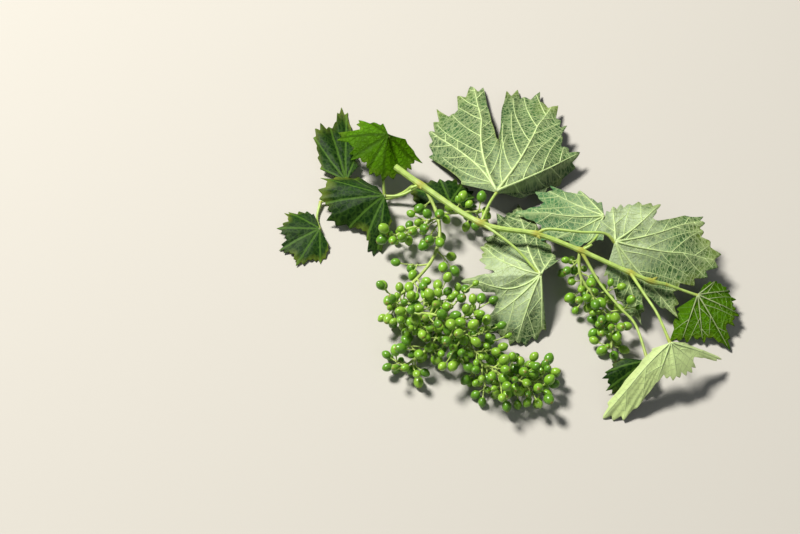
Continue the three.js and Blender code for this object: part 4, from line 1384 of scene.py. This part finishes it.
class VINE_OT_leaves(bpy.types.Operator):
    """Builds the leaves: toothed blades, their veins and their stalks"""

    bl_idname = "vine.leaves"
    bl_label = "Build leaves"

    def execute(self, context):
        looks = context.scene.vine_blades
        finishes = leaf_finishes(looks, context.scene.vine_stems)
        for index, (name, leaf) in enumerate(LEAVES.items()):
            make_leaf(name.removeprefix("leaf_"), leaf, LEAF_SEED + LEAF_SEED_STEP * index, looks, finishes)
        return {"FINISHED"}


class VINE_OT_bunches(bpy.types.Operator):
    """Grows the bunches by the same rule as their solids, then fills them with smaller berries"""

    bl_idname = "vine.bunches"
    bl_label = "Grow bunches"

    def execute(self, context):
        looks = context.scene.vine_berries
        kinds = {"fresh": looks.fresh, "deep": looks.deep, "bright": looks.bright}
        skins = [berry_material("berry_skin_" + kind, colour) for kind, colour in kinds.items()]
        skins.append(plain_material("berry_tip_dry", looks.scar, 0.7))
        stem = stem_material("bunch_stem_green", looks.stem, looks.stem, 0.45)
        spheres = Spheres()
        block_shoot_and_leaves(spheres)
        grown = {name: grow_arm(name, arm, spheres) for name, arm in BUNCHES.items()}
        for index, (name, arm) in enumerate(BUNCHES.items()):
            fuller = {**arm, "seed": arm["seed"] + FULLER_SEED, "stems": arm["fuller"]}
            stems = grown[name] + grow_arm(name, fuller, spheres, SMALL_BERRY_RADIUS)
            random = seeded(index + BUNCH_SEED)
            berries = [berry for side in stems for berry in side["berries"]]
            piece = finish_piece(berries_mesh(name + "_berries", berries, random), skins, name)
            rounding = piece.modifiers.new("Rounding", "SUBSURF")
            rounding.levels = 1
            rounding.render_levels = 1
            finish_piece(sweep(name + "_stems", bunch_stems(arm, stems, random), 1), [stem], None)
        return {"FINISHED"}


def add_area(name, lamp_kind, power):
    """A square soft light, aimed at the plant."""
    location, size, colour = lamp_kind
    light = bpy.data.lights.new(name, "AREA")
    light.size = size
    light.energy = power
    light.color = colour
    lamp = bpy.data.objects.new(name, light)
    bpy.context.scene.collection.objects.link(lamp)
    lamp.location = location
    lamp.rotation_euler = (Vector(LAMP_AIM) - lamp.location).to_track_quat("-Z", "Y").to_euler()


class VINE_OT_stage(bpy.types.Operator):
    """Lays the floor, and sets the camera and the soft light"""

    bl_idname = "vine.stage"
    bl_label = "Set stage"

    def execute(self, context):
        looks = context.scene.vine_stage
        shape = bmesh.new()
        bmesh.ops.create_grid(shape, x_segments=1, y_segments=1, size=FLOOR_SIZE)
        mesh = new_mesh("floor", shape)
        mesh.materials.append(floor_material("floor_pale_matt", looks.floor))
        floor = bpy.data.objects.new("floor", mesh)
        context.scene.collection.objects.link(floor)
        floor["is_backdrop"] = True
        add_area("key_light", KEY_LAMP, looks.key)
        add_area("fill_light", FILL_LAMP, looks.fill)
        world = bpy.data.worlds.new("studio")
        context.scene.world = world
        world.use_nodes = True
        background = world.node_tree.nodes["Background"]
        background.inputs["Color"].default_value = WORLD_COLOUR
        background.inputs["Strength"].default_value = looks.world
        context.scene.view_settings.view_transform = "Standard"
        data = bpy.data.cameras.new("camera")
        data.lens = CAMERA_LENS
        camera = bpy.data.objects.new("camera", data)
        context.scene.collection.objects.link(camera)
        tilt = math.radians(CAMERA_ELEVATION)
        away = np.array([0, -math.cos(tilt), math.sin(tilt)])
        camera.location = place(CAMERA_AIM) + CAMERA_DISTANCE * MM * away
        camera.rotation_euler = (math.pi / 2 - tilt, 0, 0)
        context.scene.camera = camera
        return {"FINISHED"}


class VINE_PT_panel(bpy.types.Panel):
    """Lists the steps and their sizes and colours"""

    bl_idname = "VINE_PT_panel"
    bl_label = "Cut grapevine shoot"
    bl_space_type = "VIEW_3D"
    bl_region_type = "UI"
    bl_category = "Vine"

    def draw(self, context):
        for operator, group in STEPS.items():
            box = self.layout.box()
            box.operator(operator.bl_idname)
            if group:
                looks = getattr(context.scene, group)
                for name in looks.__annotations__:
                    box.prop(looks, name)


GROUPS = {"vine_blades": BladeLooks, "vine_stems": StemLooks, "vine_berries": BerryLooks,
          "vine_stage": StageLooks}

# The steps in their order, each with the group of sizes and colours that the panel lists below it
STEPS = {VINE_OT_shoot: "vine_stems", VINE_OT_side_shoot: None, VINE_OT_leaves: "vine_blades",
         VINE_OT_bunches: "vine_berries", VINE_OT_stage: "vine_stage"}
CLASSES = (*GROUPS.values(), *STEPS, VINE_PT_panel)


def register():
    """Makes the groups, the operators and the panel known to Blender."""
    for known in CLASSES:
        bpy.utils.register_class(known)
    for name, group in GROUPS.items():
        setattr(bpy.types.Scene, name, bpy.props.PointerProperty(type=group))


def unregister():
    """Takes them out again."""
    for name in GROUPS:
        delattr(bpy.types.Scene, name)
    for known in reversed(CLASSES):
        bpy.utils.unregister_class(known)


def corners(box):
    """The two corners of a box as plain lists."""
    return [list(corner) for corner in box]


def main():
    """Builds everything in order."""
    register()
    for operator in STEPS:
        group, name = operator.bl_idname.split(".")
        getattr(getattr(bpy.ops, group), name)()
    {"cad": corners(SOLID_BOX), "visual": corners(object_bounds())}


if __name__ == "__main__":
    main()
